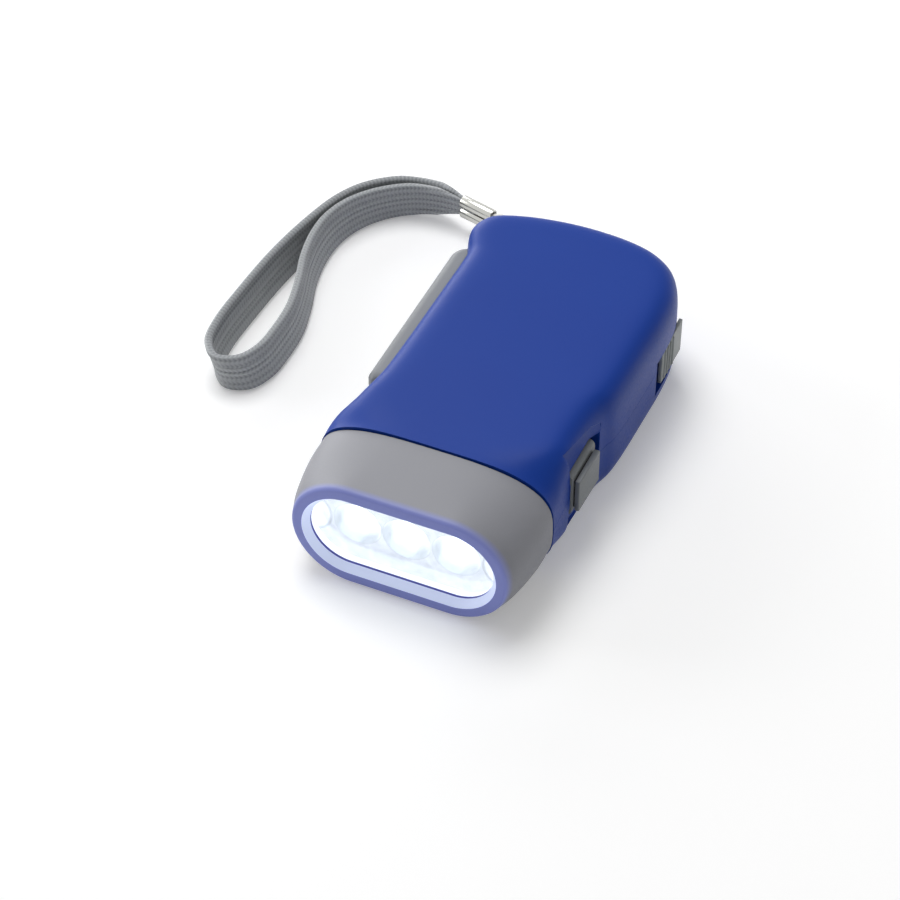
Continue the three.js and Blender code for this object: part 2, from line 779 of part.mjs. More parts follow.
// The grip's plan, drawn in by an inset, counter-clockwise from its inner rear corner.
function gripRing(inset, height) {
  const { outerX, innerX, frontY, rearY, rearRound, frontChamfer } = lever;
  const left = outerX + inset;
  const right = innerX - inset;
  const front = frontY + inset;
  const rear = rearY - inset;
  const round = rearRound - inset;
  const points = [vector(right, rear)];
  for (let i = 0; i <= gripRoundSteps; i++) {
    const angle = Math.PI / 2 + ((Math.PI / 2) * i) / gripRoundSteps;
    points.push(polar(round, angle).add(vector(left + round, rear - round)));
  }
  points.push(vector(left, front + frontChamfer), vector(left + frontChamfer, front), vector(right, front));
  return points.map(({ x, y }) => new THREE.Vector3(x, y, height));
}

function leverGrip() {
  const edge = [];
  for (let i = 0; i <= gripEdgeSteps; i++) {
    const angle = ((Math.PI / 2) * i) / gripEdgeSteps;
    edge.push([lever.edgeRound * (1 - Math.sin(angle)), lever.edgeRound * (1 - Math.cos(angle))]);
  }
  return loft([
    ...edge.map(([inset, rise]) => gripRing(inset, leverLevels[0] + rise)),
    ...edge.reverse().map(([inset, rise]) => gripRing(inset, leverLevels[1] - rise)),
  ]);
}

// Where the neck leaves the boss, as shares of the boss's radius.
const neckOuterShares = [-0.85, 0.5];
const neckInnerShares = [0.7, 0.7];

function leverSolid() {
  const { bossRadius, frontY, innerX, outerX, neckStep, neckOverlap, skin, rearY } = lever;
  const onBoss = ([across, along]) => vector(across * bossRadius, along * bossRadius).add(pivot);
  const neckX = outerX + neckStep;
  const neck = prism(
    [
      onBoss(neckOuterShares),
      onBoss(neckInnerShares),
      vector(innerX - gap, frontY + neckOverlap),
      vector(neckX, frontY + neckOverlap),
      vector(neckX, frontY - neckOverlap),
    ],
    ...neckLevels,
  );
  const boss = post(pivot, bossRadius, ...neckLevels, sides.boss);
  const bore = post(pivot, pin.radius + runningGap, -clear, clear, sides.boss);
  const pocket = blockOf(
    [outerX + skin, innerX + overrun],
    [frontY + neckOverlap + skin, rearY - skin],
    [leverLevels[0] + skin, leverLevels[1] - skin],
  );
  return cut(join(leverGrip(), neck, boss), bore, pocket);
}

// Half a rack tooth's angle at a radius, in degrees: what the space of a ring gear leaves.
function rackHalfTooth(radius) {
  const space = halfToothAngle(rack.teeth, rack.module, radius, 1 + backlashShare);
  return THREE.MathUtils.radToDeg(Math.PI / rack.teeth - space);
}

// The notch that the lock's hook enters: where it starts and ends about the pivot, and how deep it is.
function rackNotch() {
  const hookAngle = THREE.MathUtils.degToRad(lock.hookAngle);
  const degreesFor = (distance) => THREE.MathUtils.radToDeg(distance / rackOuterRadius);
  const half = lock.hookWidth / 2 + gap;
  return {
    from: lock.hookAngle - degreesFor(half),
    to: lock.hookAngle + degreesFor(half + lock.travel * Math.sin(hookAngle)),
    depth: lock.travel * Math.cos(hookAngle) - lock.clearance + gap,
  };
}

const rackBackSteps = 8;

// The toothed arc on the lever, about the pivot, with a foot that fills the grip's pocket.
function rackSolid() {
  const { teeth, startAngle, endAngle, footAngle } = rack;
  const tip = rackPitchRadius - addendumShare * rack.module;
  const at = (radius, degrees) => offsetFrom(pivot, degrees, radius);
  const toothPitch = 360 / teeth;
  const first = Math.ceil((startAngle + footAngle - train.meshAngle) / toothPitch);
  const last = Math.floor((endAngle - train.meshAngle) / toothPitch) - 1;
  const outline = [at(rackOuterRadius, startAngle), at(rackRootRadius, startAngle)];
  for (let i = first; i <= last; i++) {
    const centre = train.meshAngle + (i + 1 / 2) * toothPitch;
    for (const radius of [rackRootRadius, tip]) outline.push(at(radius, centre - rackHalfTooth(radius)));
    for (const radius of [tip, rackRootRadius]) outline.push(at(radius, centre + rackHalfTooth(radius)));
  }
  const notch = rackNotch();
  outline.push(at(rackRootRadius, endAngle), at(rackOuterRadius, endAngle));
  outline.push(at(rackOuterRadius, notch.to), at(rackOuterRadius - notch.depth, notch.to));
  outline.push(at(rackOuterRadius - notch.depth, notch.from));
  for (let i = 0; i < rackBackSteps; i++) {
    outline.push(at(rackOuterRadius, THREE.MathUtils.lerp(notch.from, startAngle, i / rackBackSteps)));
  }
  const arc = prism(outline.reverse(), ...rackLevels);
  const foot = prism(
    [
      at(rackRootRadius, startAngle),
      at(rackRootRadius, startAngle + footAngle),
      at(rackOuterRadius, startAngle + footAngle),
      at(rackOuterRadius, startAngle),
    ].reverse(),
    leverLevels[0] + lever.skin + gap,
    leverLevels[1] - lever.skin - gap,
  );
  const gripSkin = blockOf([-clear, lever.outerX + lever.skin + gap], [-clear, clear], [-clear, clear]);
  const gripEnd = blockOf([-clear, lever.innerX], [lever.rearY - lever.skin - gap, clear], [-clear, clear]);
  return cut(join(arc, foot), gripSkin, gripEnd);
}

// The return spring round the lever's pivot is one unbroken wire.
function returnSpring() {
  const low = neckLevels[1] + gap + spring.wire;
  const steps = spring.turns * spring.stepsPerTurn;
  const curl = [];
  for (let i = 0; i <= steps; i++) {
    const turn = i / spring.stepsPerTurn;
    const plan = polar(spring.radius, Math.PI - 2 * Math.PI * turn).add(pivot);
    curl.push(new THREE.Vector3(plan.x, plan.y, low + spring.pitch * turn));
  }
  const leg = new THREE.Vector3(0, -spring.leg, 0);
  console.log(`return_spring: least gap to itself ${leastGap(curl).toFixed(2)} mm`);
  return tube([curl[0].clone().add(leg), ...curl, curl[steps].clone().add(leg)], spring.wire, spring.sides);
}

// The least gap between turns of the spring's wire.
function leastGap(curl) {
  let least = Infinity;
  for (let i = 0; i < curl.length; i++) {
    for (let j = i + spring.stepsPerTurn / 2; j < curl.length; j++) {
      least = Math.min(least, curl[i].distanceTo(curl[j]));
    }
  }
  return least - 2 * spring.wire;
}

// Gear train

const gearBore = (axle) => post(axle, pin.gearRadius + runningGap, -clear, clear, sides.pin);

function firstGear() {
  const { pinionTeeth, firstWheelTeeth, fineModule, lowerLevel } = train;
  const pinion = gearOutline(pinionTeeth, rack.module, lineAngle(pivot, firstAxle), firstAxle);
  const wheel = gearOutline(firstWheelTeeth, fineModule, lineAngle(firstAxle, secondAxle), firstAxle);
  const pinionSolid = prism(pinion, lowerWheelTop - gap, rackLevels[1] + gap);
  return cut(join(pinionSolid, prism(wheel, lowerLevel, lowerWheelTop)), gearBore(firstAxle));
}

const clutchLevels = [train.upperLevel + ratchet.cupFloor + gap, upperWheelTop - gap];

function ratchetPinion() {
  const turn = spaceFacing(train.secondPinionTeeth, firstAxle, secondAxle);
  const pinion = gearOutline(train.secondPinionTeeth, train.fineModule, turn, secondAxle);
  const star = [];
  for (let i = 0; i < ratchet.teeth; i++) {
    const angle = (2 * Math.PI * i) / ratchet.teeth;
    star.push(polar(ratchet.radius - ratchet.depth, angle), polar(ratchet.radius, angle));
  }
  const solid = join(
    prism(pinion, train.lowerLevel, lowerWheelTop + gap),
    post(secondAxle, train.hubRadius, lowerWheelTop, clutchLevels[1], sides.boss),
    prism(shifted(star, secondAxle), ...clutchLevels),
  );
  return cut(solid, gearBore(secondAxle));
}

function secondWheel() {
  const { secondWheelTeeth, fineModule, upperLevel, hubRadius } = train;
  const outline = gearOutline(secondWheelTeeth, fineModule, lineAngle(secondAxle, rotorAxle), secondAxle);
  const clutchCup = post(secondAxle, ratchet.cupRadius, upperLevel + ratchet.cupFloor, clear, sides.boss);
  const hubHole = post(secondAxle, hubRadius + runningGap, -clear, clear, sides.boss);
  return cut(prism(outline, upperLevel, upperWheelTop), clutchCup, hubHole);
}

// A pawl curves round the ratchet, between it and the wheel's cup.
function pawl(turn) {
  const start = turn + Math.PI / ratchet.teeth;
  const inner = ratchet.radius + runningGap;
  const outer = ratchet.cupRadius - gap;
  const reach = ratchet.pawlLength / inner;
  const outline = [
    polar(inner, start),
    polar(outer, start),
    polar(outer, start + reach / 2),
    polar(outer, start + reach),
    polar((inner + outer) / 2, start + reach),
    polar(inner, start + reach / 2),
  ];
  return prism(shifted(outline, secondAxle), ...clutchLevels);
}

const gearPin = (axle, low, high) => post(axle, pin.gearRadius, low, high, sides.pin);
const pinFoot = lowerSeat - pin.seatDepth + gap;
const pinHead = upperSeat + pin.seatDepth - gap;

// Generator

const clawInner = generator.magnetRadius + generator.airGap;
const clawOuter = clawInner + generator.plate;

// A pole plate with bent claws: up from below for the lower one, down from above for the upper one.
function clawPlate(isLower) {
  const { radius, plate, claws, clawShare } = generator;
  const [bottom, top] = statorLevels;
  const plateLevels = isLower ? [bottom, bottom + plate] : [top - plate, top];
  const clawLevels = isLower ? [bottom, top - 2 * plate] : [bottom + 2 * plate, top];
  const band = ring(rotorAxle, clawInner, clawOuter, ...clawLevels);
  const half = (Math.PI / claws) * clawShare;
  const fingers = [];
  for (let i = 0; i < claws; i++) {
    const centre = ((2 * Math.PI) / claws) * (i + (isLower ? 0 : 1 / 2));
    const wedge = [vector(0, 0), polar(radius, centre - half), polar(radius, centre + half)];
    fingers.push(prism(shifted(wedge, rotorAxle), ...clawLevels).intersect(band));
  }
  return join(ring(rotorAxle, clawInner, radius, ...plateLevels), ...fingers);
}

function coil() {
  const { plate, coilInner, radius } = generator;
  const [bottom, top] = statorLevels;
  return ring(rotorAxle, coilInner, radius - plate, bottom + plate + gap, top - plate - gap);
}

const onShaft = pin.gearRadius + runningGap;

function rotorPinion() {
  const turn = spaceFacing(train.rotorPinionTeeth, secondAxle, rotorAxle);
  const outline = gearOutline(train.rotorPinionTeeth, train.fineModule, turn, rotorAxle);
  return cut(prism(outline, train.upperLevel, upperWheelTop), gearBore(rotorAxle));
}

function rotorMagnet() {
  const middle = (statorLevels[0] + statorLevels[1]) / 2;
  return ring(rotorAxle, onShaft, generator.magnetRadius, ...spread(middle, generator.magnetHeight));
}

function flywheel() {
  const low = statorLevels[1] + gap;
  return ring(rotorAxle, onShaft, generator.flywheelRadius, low, low + generator.flywheelHeight);
}

// Power and boards

function coinCell(low) {
  const profile = [
    [0, low],
    [cell.radius - cell.edge, low],
    [cell.radius, low + cell.edge],
    [cell.radius, low + cell.thickness],
    [0, low + cell.thickness],
  ];
  return turned(profile, cellPlace, sides.cell);
}

const circuitBoard = () => blockOf([board.left, board.right], [board.front, board.rear], boardLevels);

// Switch

const switchRight = flangeInnerX - yoke.reach - 2 * gap;

function switchBody() {
  const { width, length, height } = slideSwitch;
  const front = toggleFrontY - (length - toggle.width - button.travel) / 2;
  const low = boardLevels[1] + gap;
  const body = blockOf([switchRight - width, switchRight], [front, front + length], [low, low + height]);
  const slot = blockOf(
    [switchRight - toggle.reach, clear],
    [toggleFrontY - gap, toggleFrontY + toggle.width + button.travel + gap],
    spread(midHeight, toggle.height + 2 * gap),
  );
  return cut(body, slot);
}

function switchToggle() {
  const xs = [switchRight - toggle.reach + gap, flangeInnerX - gap];
  return blockOf(xs, [toggleFrontY, toggleFrontY + toggle.width], spread(midHeight, toggle.height));
}

// A slab of the button between two depths: its outer face leans, with a round edge above and below.
function buttonSlab(outerXs, ys, height, round) {
  const rings = outerXs.map((outerX, end) => {
    const upper = [[flangeInnerX, height / 2]];
    for (let i = 0; i <= buttonRoundSteps; i++) {
      const corner = polar(round, (Math.PI / 2) * (1 - i / buttonRoundSteps));
      upper.push([outerX - round + corner.x, height / 2 - round + corner.y]);
    }
    const lower = upper.map(([x, up]) => [x, -up]).reverse();
    return [...upper, ...lower].map(([x, up]) => new THREE.Vector3(x, ys[end], midHeight + up));
  });
  return loft(rings);
}

// The sliding button: an inner flange, a base that fills the window, a proud cap and a yoke on the toggle.
function switchButton() {
  const { baseFrontX, baseRearX, baseFrontY, baseLength, capFrontX, capRearX, capLength } = button;
  const baseYs = [baseFrontY, baseFrontY + baseLength];
  const capYs = [capFrontY, capFrontY + capLength];
  const base = buttonSlab([baseFrontX, baseRearX], baseYs, button.baseHeight, button.baseRound);
  const cap = buttonSlab([capFrontX, capRearX], capYs, button.capHeight, button.capRound);
  const flange = blockOf([flangeInnerX, button.flangeX], flangeYs, spread(midHeight, flangeHeight));
  const yokes = [toggleFrontY - gap - yoke.width, toggleFrontY + toggle.width + gap].map((y) =>
    blockOf([flangeInnerX - yoke.reach, button.flangeX], [y, y + yoke.width], spread(midHeight, yoke.height)),
  );
  return join(flange, base, cap, ...yokes);
}

// Lock

// The lock slide: a ribbed plate outside, a stem through the wall, and an arm with a hook for the rack.
function lockSlide() {
  const plate = blockOf([lock.seatX + gap, lockFaceX], [lock.frontY, lock.frontY + lock.length], lockLevels);
  const ribLevels = [lockLevels[0] + lock.ribRadius, lockLevels[1] - lock.ribRadius];
  const ribs = [];
  for (let i = 1; i <= lock.ribs; i++) {
    const place = vector(lockFaceX, lock.frontY + lock.ribPitch * i);
    ribs.push(post(place, lock.ribRadius, ...ribLevels, sides.rib));
  }
  const armX = lock.seatX - wall - gap;
  const stem = blockOf([armX - lock.armThickness, lockFaceX - lock.thickness / 2], lockStemYs, hookLevels);
  const tip = offsetFrom(pivot, lock.hookAngle, rackOuterRadius + lock.clearance);
  const onHook = (side, back) => {
    const sideways = offsetFrom(tip, lock.hookAngle + 90, (side * lock.hookWidth) / 2);
    return offsetFrom(sideways, lock.hookAngle, back);
  };
  const arm = prism(
    [
      onHook(1, 0),
      onHook(1, lock.hookReach),
      vector(armX, lockStemYs[0]),
      vector(armX, lockStemYs[1]),
      vector(armX - lock.armThickness, lockStemYs[1]),
      onHook(-1, lock.hookReach),
      onHook(-1, 0),
    ],
    ...hookLevels,
  );
  return join(plate, ...ribs, stem, arm);
}

// Strap

// The crimp runs from its case end to its strap end; a place in it is off to a side and up from its axis.
const crimpStart = new THREE.Vector3(-28.8, 118.6, crimp.height);
const crimpEnd = new THREE.Vector3(-37.8, 121, crimp.height);
const crimpLength = crimpStart.distanceTo(crimpEnd);
const crimpAxis = crimpEnd.clone().sub(crimpStart).normalize();
const crimpSide = new THREE.Vector3(-crimpAxis.y, crimpAxis.x, 0);

function alongCrimp(share, side, up) {
  const at = new THREE.Vector3().lerpVectors(crimpStart, crimpEnd, share).addScaledVector(crimpSide, side);
  return at.setZ(crimp.height + up);
}

// The crimp's section is two barrels, one above the other.
function crimpSection(radius, waist, past) {
  const length = crimpLength + 2 * past;
  const middle = crimpLength / 2;
  const barrels = [1, -1].map((side) => {
    const barrel = new THREE.CylinderGeometry(radius, radius, length, sides.pin).rotateX(Math.PI / 2);
    return toSolid(barrel.translate(0, side * crimp.barrelOffset, middle));
  });
  const between = new THREE.BoxGeometry(2 * waist, 2 * crimp.barrelOffset, length).translate(0, 0, middle);
  return join(toSolid(between), ...barrels);
}

function crimpSolid() {
  const { radius, thickness, slit, waist } = crimp;
  const outer = crimpSection(radius, waist, 0);
  const inner = crimpSection(radius - thickness, waist - thickness, overrun);
  const seam = new THREE.BoxGeometry(radius, slit, crimpLength + 2 * overrun);
  seam.translate(radius, 0, crimpLength / 2);
  const place = new THREE.Matrix4().makeBasis(crimpSide, new THREE.Vector3(0, 0, 1), crimpAxis);
  return cut(outer, inner, toSolid(seam)).transform(place.setPosition(crimpStart).elements);
}

// The string loops round the strap pin, both its ends in the crimp's barrels.
const stringReachShare = 0.28; // how much of the crimp each end of the string fills
const stringRoute = [
  [-26.4, 117.2, 9.9],
  [-23.4, 114.6, 11],
  [-20.4, 110.6, 12.4],
  [-18, 106, 13.6],
  [-17.2, 102, 14],
];
const stringReturn = [
  [-13.9, 101.6, 14],
  [-14.9, 105.2, 13.4],
  [-17.8, 109.6, 11.8],
  [-21.2, 113.2, 9.4],
  [-25, 116.2, 6.9],
];
const stringTurnSteps = 4;
const stringSides = 8;

function stringSolid() {
  const turn = strapPin.radius + string.radius + runningGap;
  const round = [];
  for (let i = 0; i <= stringTurnSteps; i++) {
    const plan = polar(turn, Math.PI + (Math.PI * i) / stringTurnSteps).add(strapPlace);
    round.push(new THREE.Vector3(plan.x, plan.y, midHeight));
  }
  const route = [
    alongCrimp(stringReachShare, 0, crimp.barrelOffset),
    alongCrimp(0, 0, crimp.barrelOffset),
    ...stringRoute.map((place) => new THREE.Vector3(...place)),
    ...round,
    ...stringReturn.map((place) => new THREE.Vector3(...place)),
    alongCrimp(0, 0, -crimp.barrelOffset),
    alongCrimp(stringReachShare, 0, -crimp.barrelOffset),
  ];
  return tube(route, string.radius, stringSides, 2);
}

// The webbing's middle line in plan, from the crimp round its loop and back; by the crimp it is also held up
// and narrower, so those points have the height of its middle and half its width.
const strapStartShare = 0.6; // of the crimp, where the webbing's ends lie
const strapRoute = [
  [-45, 123.7, 6.3, 4.2],
  [-55, 122.4, 5.3],
  [-62, 116.9],
  [-65.9, 109.6],
  [-68.7, 98],
  [-70.7, 84],
  [-71.5, 69],
  [-71.5, 56],
  [-70, 48.8],
  [-66, 44.8],
  [-61, 46.5],
  [-58.3, 52],
  [-57.8, 60],
  [-58.3, 68],
  [-60.5, 77],
  [-63.4, 86],
  [-65, 95],
  [-64.8, 103],
  [-62.3, 110.4],
  [-57.6, 116.6],
  [-51.6, 120.4, 5.5],
  [-45, 121.4, 6.3, 4.2],
];
const strapStepsPerPoint = 3;

function strapSolid() {
  const squeezedHeight = crimp.barrelOffset + (crimp.radius - crimp.thickness) / 2;
  const squeezed = new THREE.Vector3(squeezedHeight, webbing.squeezedHalf, 0);
  const side = webbing.squeezedHalf + webbing.squeezedGap;
  const middleHeight = webbing.width / 2 + gap;
  const centre = [
    alongCrimp(strapStartShare, -side, 0),
    alongCrimp(1, -side, 0),
    ...strapRoute.map(([x, y, z = middleHeight]) => new THREE.Vector3(x, y, z)),
    alongCrimp(1, side, 0),
    alongCrimp(strapStartShare, side, 0),
  ];
  const free = strapRoute.map(
    ([, , , half = webbing.width / 2]) => new THREE.Vector3(half, webbing.thickness / 2, 0),
  );
  const sizes = [squeezed, squeezed, ...free, squeezed, squeezed];
  const centreCurve = new THREE.CatmullRomCurve3(centre, false, 'centripetal');
  const steps = (centre.length - 1) * strapStepsPerPoint;
  const rings = [];
  for (let i = 0; i <= steps; i++) {
    const from = Math.min(Math.floor(i / strapStepsPerPoint), sizes.length - 2);
    const size = sizes[from].clone().lerp(sizes[from + 1], i / strapStepsPerPoint - from);
    const at = centreCurve.getPoint(i / steps);
    const heading = centreCurve.getTangent(i / steps).setZ(0).normalize();
    const across = new THREE.Vector3(-heading.y, heading.x, 0).multiplyScalar(size.y);
    const endShare = Math.min(i, steps - i) / steps;
    const leanShare = THREE.MathUtils.smoothstep(endShare, webbing.leanStartShare, webbing.leanFullShare);
    const lean = webbing.lean * leanShare;
    const corner = (sideways, up) =>
      at.clone().addScaledVector(across, sideways).add(new THREE.Vector3(-lean * up, 0, size.x * up));
    rings.push([corner(1, 1), corner(-1, 1), corner(-1, -1), corner(1, -1)]);
  }
  return loft(rings);
}

// The torch

const parts = new THREE.Group();

function add(name, solid, material) {
  const mesh = new THREE.Mesh(toGeometry(solid), material);
  mesh.name = name;
  parts.add(mesh);
}

const shells = casing();
add('lower_shell', lowerShell(shells), finishes.blue);
add('upper_shell', upperShell(shells), finishes.blue);
add('bezel', bezelSolid(), finishes.grey);
add('lens', stadiumPlate(lens, lensFront, lensFront + lens.thickness), finishes.clear);
add('reflector', reflectorSolid(), finishes.chrome);
lampPlaces.forEach((x, i) => add(`led_${i + 1}`, ledSolid(x), finishes.ledClear));
const ledBoardRear = ledBoardFront + ledBoard.thickness;
add('led_board', stadiumPlate(ledBoard, ledBoardFront, ledBoardRear), finishes.boardGreen);
screwPlaces.forEach((place, i) => add(`case_screw_${i + 1}`, caseScrew(place), finishes.steel));

add('squeeze_lever', leverSolid(), finishes.grey);
add('sector_rack', rackSolid(), finishes.acetal);
const pivotPinLevels = spread(midHeight, lever.neckHeight + 2 * pin.seatDepth);
add('pivot_pin', post(pivot, pin.radius, ...pivotPinLevels, sides.pin), finishes.steel);
add('return_spring', returnSpring(), finishes.steel);

add('first_gear', firstGear(), finishes.acetal);
add('first_axle', gearPin(firstAxle, pinFoot, rackLevels[1]), finishes.steel);
add('ratchet_pinion', ratchetPinion(), finishes.acetal);
add('second_wheel', secondWheel(), finishes.acetal);
[0, Math.PI].forEach((turn, i) => add(`pawl_${i + 1}`, pawl(turn), finishes.steel));
add('second_axle', gearPin(secondAxle, pinFoot, pinHead), finishes.steel);

add('rotor_shaft', gearPin(rotorAxle, statorLevels[0] + gap, pinHead), finishes.steel);
add('rotor_pinion', rotorPinion(), finishes.acetal);
add('rotor_magnet', rotorMagnet(), finishes.ferrite);
add('flywheel', flywheel(), finishes.steel);
add('lower_claw_plate', clawPlate(true), finishes.steel);
add('upper_claw_plate', clawPlate(false), finishes.steel);
add('coil', coil(), finishes.copper);

add('coin_cell_1', coinCell(cell.underside), finishes.steel);
add('coin_cell_2', coinCell(cell.underside + cell.thickness + gap), finishes.steel);
add('circuit_board', circuitBoard(), finishes.boardGreen);
add('switch_body', switchBody(), finishes.black);
add('switch_toggle', switchToggle(), finishes.acetal);
add('switch_button', switchButton(), finishes.darkGrey);
add('lock_slide', lockSlide(), finishes.darkGrey);

const strapPinEnds = [strapPinLevels[0] - pin.seatDepth + gap, strapPinLevels[1] + pin.seatDepth - gap];
add('strap_pin', post(strapPlace, strapPin.radius, ...strapPinEnds, sides.pin), finishes.steel);
add('string', stringSolid(), finishes.acetal);
add('crimp', crimpSolid(), finishes.chrome);
add('strap', strapSolid(), finishes.webbing);

// The origin goes under the middle of the torch, its strap left out.
parts.position.set((torch.jointHalfWidth - lockFaceX - lock.ribRadius) / 2, -torch.length / 2, 0);

const model = new THREE.Group();
model.add(parts);

export default model;
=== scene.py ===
"""Dresses a packed hand-press dynamo torch: case, lamp, lever, switch, lock, screws, strap and studio.

Sizes are in millimetres, measured as in the part from the lamp's front face, and turn to metres in the
part's own frame (+Z up, the lamp towards -Y, the origin under the middle) where a mesh is made.
"""

import logging
import math
from dataclasses import dataclass, field
from enum import Enum

import bmesh
import bpy
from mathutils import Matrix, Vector


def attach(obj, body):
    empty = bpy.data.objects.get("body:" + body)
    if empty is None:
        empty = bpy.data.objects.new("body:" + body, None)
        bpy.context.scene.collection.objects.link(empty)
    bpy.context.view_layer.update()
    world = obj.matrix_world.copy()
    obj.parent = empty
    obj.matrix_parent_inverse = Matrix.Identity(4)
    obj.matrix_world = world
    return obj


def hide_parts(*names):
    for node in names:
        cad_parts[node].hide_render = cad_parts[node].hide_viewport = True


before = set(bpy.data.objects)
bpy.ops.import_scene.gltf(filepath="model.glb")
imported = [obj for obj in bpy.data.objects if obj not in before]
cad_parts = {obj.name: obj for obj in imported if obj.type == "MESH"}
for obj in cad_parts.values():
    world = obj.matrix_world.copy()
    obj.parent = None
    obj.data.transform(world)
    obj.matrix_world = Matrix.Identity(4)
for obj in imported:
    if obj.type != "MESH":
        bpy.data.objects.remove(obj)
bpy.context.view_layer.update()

MM = 0.001
FULL_BYTE = 255
SRGB_KNEE, SRGB_SLOPE, SRGB_SHIFT, SRGB_POWER = 0.04045, 12.92, 0.055, 2.4
NOISE_SPAN = (0.3, 0.7)  # where nearly all values of a noise pattern lie
NOISE_CORE = (0.35, 0.65)  # where most of them lie
MIX_A, MIX_B, MIX_OUT = 6, 7, 2  # the colour sockets of a Mix node
LOG = logging.getLogger("torch")

Tree = bpy.types.NodeTree
Socket = bpy.types.NodeSocket


# Units, colours and nodes


def per_metre(size_mm: float) -> float:
    """How many times a pattern of that size, in millimetres, fits in a metre."""
    return 1 / (size_mm * MM)


def spread(middle: float, size: float) -> tuple[float, float]:
    """The two limits of a size about its middle."""
    return middle - size / 2, middle + size / 2


def linear_colour(srgb_hex: str) -> tuple[float, float, float, float]:
    """Turns an sRGB hex value into Blender's linear colour.

    Args:
        srgb_hex: six hex digits, such as "24409a".

    Returns:
        Red, green, blue and alpha, from 0 to 1.
    """
    linear = []
    for value in bytes.fromhex(srgb_hex):
        level = value / FULL_BYTE
        if level <= SRGB_KNEE:
            linear.append(level / SRGB_SLOPE)
        else:
            linear.append(((level + SRGB_SHIFT) / (1 + SRGB_SHIFT)) ** SRGB_POWER)
    return (*linear, 1.0)


def add_node(
    tree: Tree, kind: str, inputs: dict[str | int, object] | None = None, **settings: object
) -> bpy.types.Node:
    """Adds one node to a tree.

    Args:
        tree: the tree that the node goes into.
        kind: the node's type.
        inputs: what each input is set to, or the socket that feeds it.
        settings: the node's own properties.

    Returns:
        The new node.
    """
    node = tree.nodes.new(kind)
    for name, value in settings.items():
        setattr(node, name, value)
    for name, value in (inputs or {}).items():
        if isinstance(value, Socket):
            tree.links.new(value, node.inputs[name])
        else:
            node.inputs[name].default_value = value
    return node


def two_colours(low: str, high: str) -> dict[int, tuple[float, ...]]:
    """The inputs of a mix between two sRGB colours."""
    return {MIX_A: linear_colour(low), MIX_B: linear_colour(high)}


def two_spans(source: tuple[float, float], target: tuple[float, float] = (0.0, 1.0)) -> dict[str, float]:
    """The inputs that map one span of values to another."""
    return dict(zip(("From Min", "From Max", "To Min", "To Max"), (*source, *target)))


# Sizes that several sub-assemblies share


@dataclass(frozen=True)
class TorchSizes:
    """The torch's driving sizes, in millimetres, with its places measured from the lamp's front face."""

    length: float = 105.2
    thickness: float = 28.0
    joint_half_width: float = 27.7
    middle_x: float = 1.225
    joint_y: float = 19.5
    gap: float = 0.3
    wall: float = 1.8
    overrun: float = 1.0
    lever_pivot: tuple = (-18.6, 26.6)
    strap_pin: tuple = (-15.5, 98.6)
    cup_pitch: float = 11.6
    cup_radius: float = 5.6

    @property
    def mid_height(self) -> float:
        """Half the torch's thickness."""
        return self.thickness / 2

    @property
    def case_front_y(self) -> float:
        """Where the case starts behind the bezel."""
        return self.joint_y + self.gap

    def placed(self, x: float, y: float, z: float) -> Vector:
        """A point of the drawing as a point of the part's frame, in metres."""
        return Vector((x - self.middle_x, y - self.length / 2, z)) * MM


TORCH = TorchSizes()
FAR = TORCH.length + TORCH.overrun


# Finishes


@dataclass(frozen=True)
class Finish:
    """What all finishes share: a named material made of the nodes that each adds."""

    name: str

    def shader(self, tree: Tree, where: Socket) -> Socket:
        """Adds the finish's own nodes.

        Args:
            tree: the material's tree.
            where: the place on the piece.

        Returns:
            The shader's socket.
        """
        raise NotImplementedError

    def material(self) -> bpy.types.Material:
        """Makes the material.

        Returns:
            The material.
        """
        material = bpy.data.materials.new(self.name)
        material.use_nodes = True
        tree = material.node_tree
        tree.nodes.clear()
        where = add_node(tree, "ShaderNodeTexCoord").outputs["Object"]
        add_node(tree, "ShaderNodeOutputMaterial", {"Surface": self.shader(tree, where)})
        return material


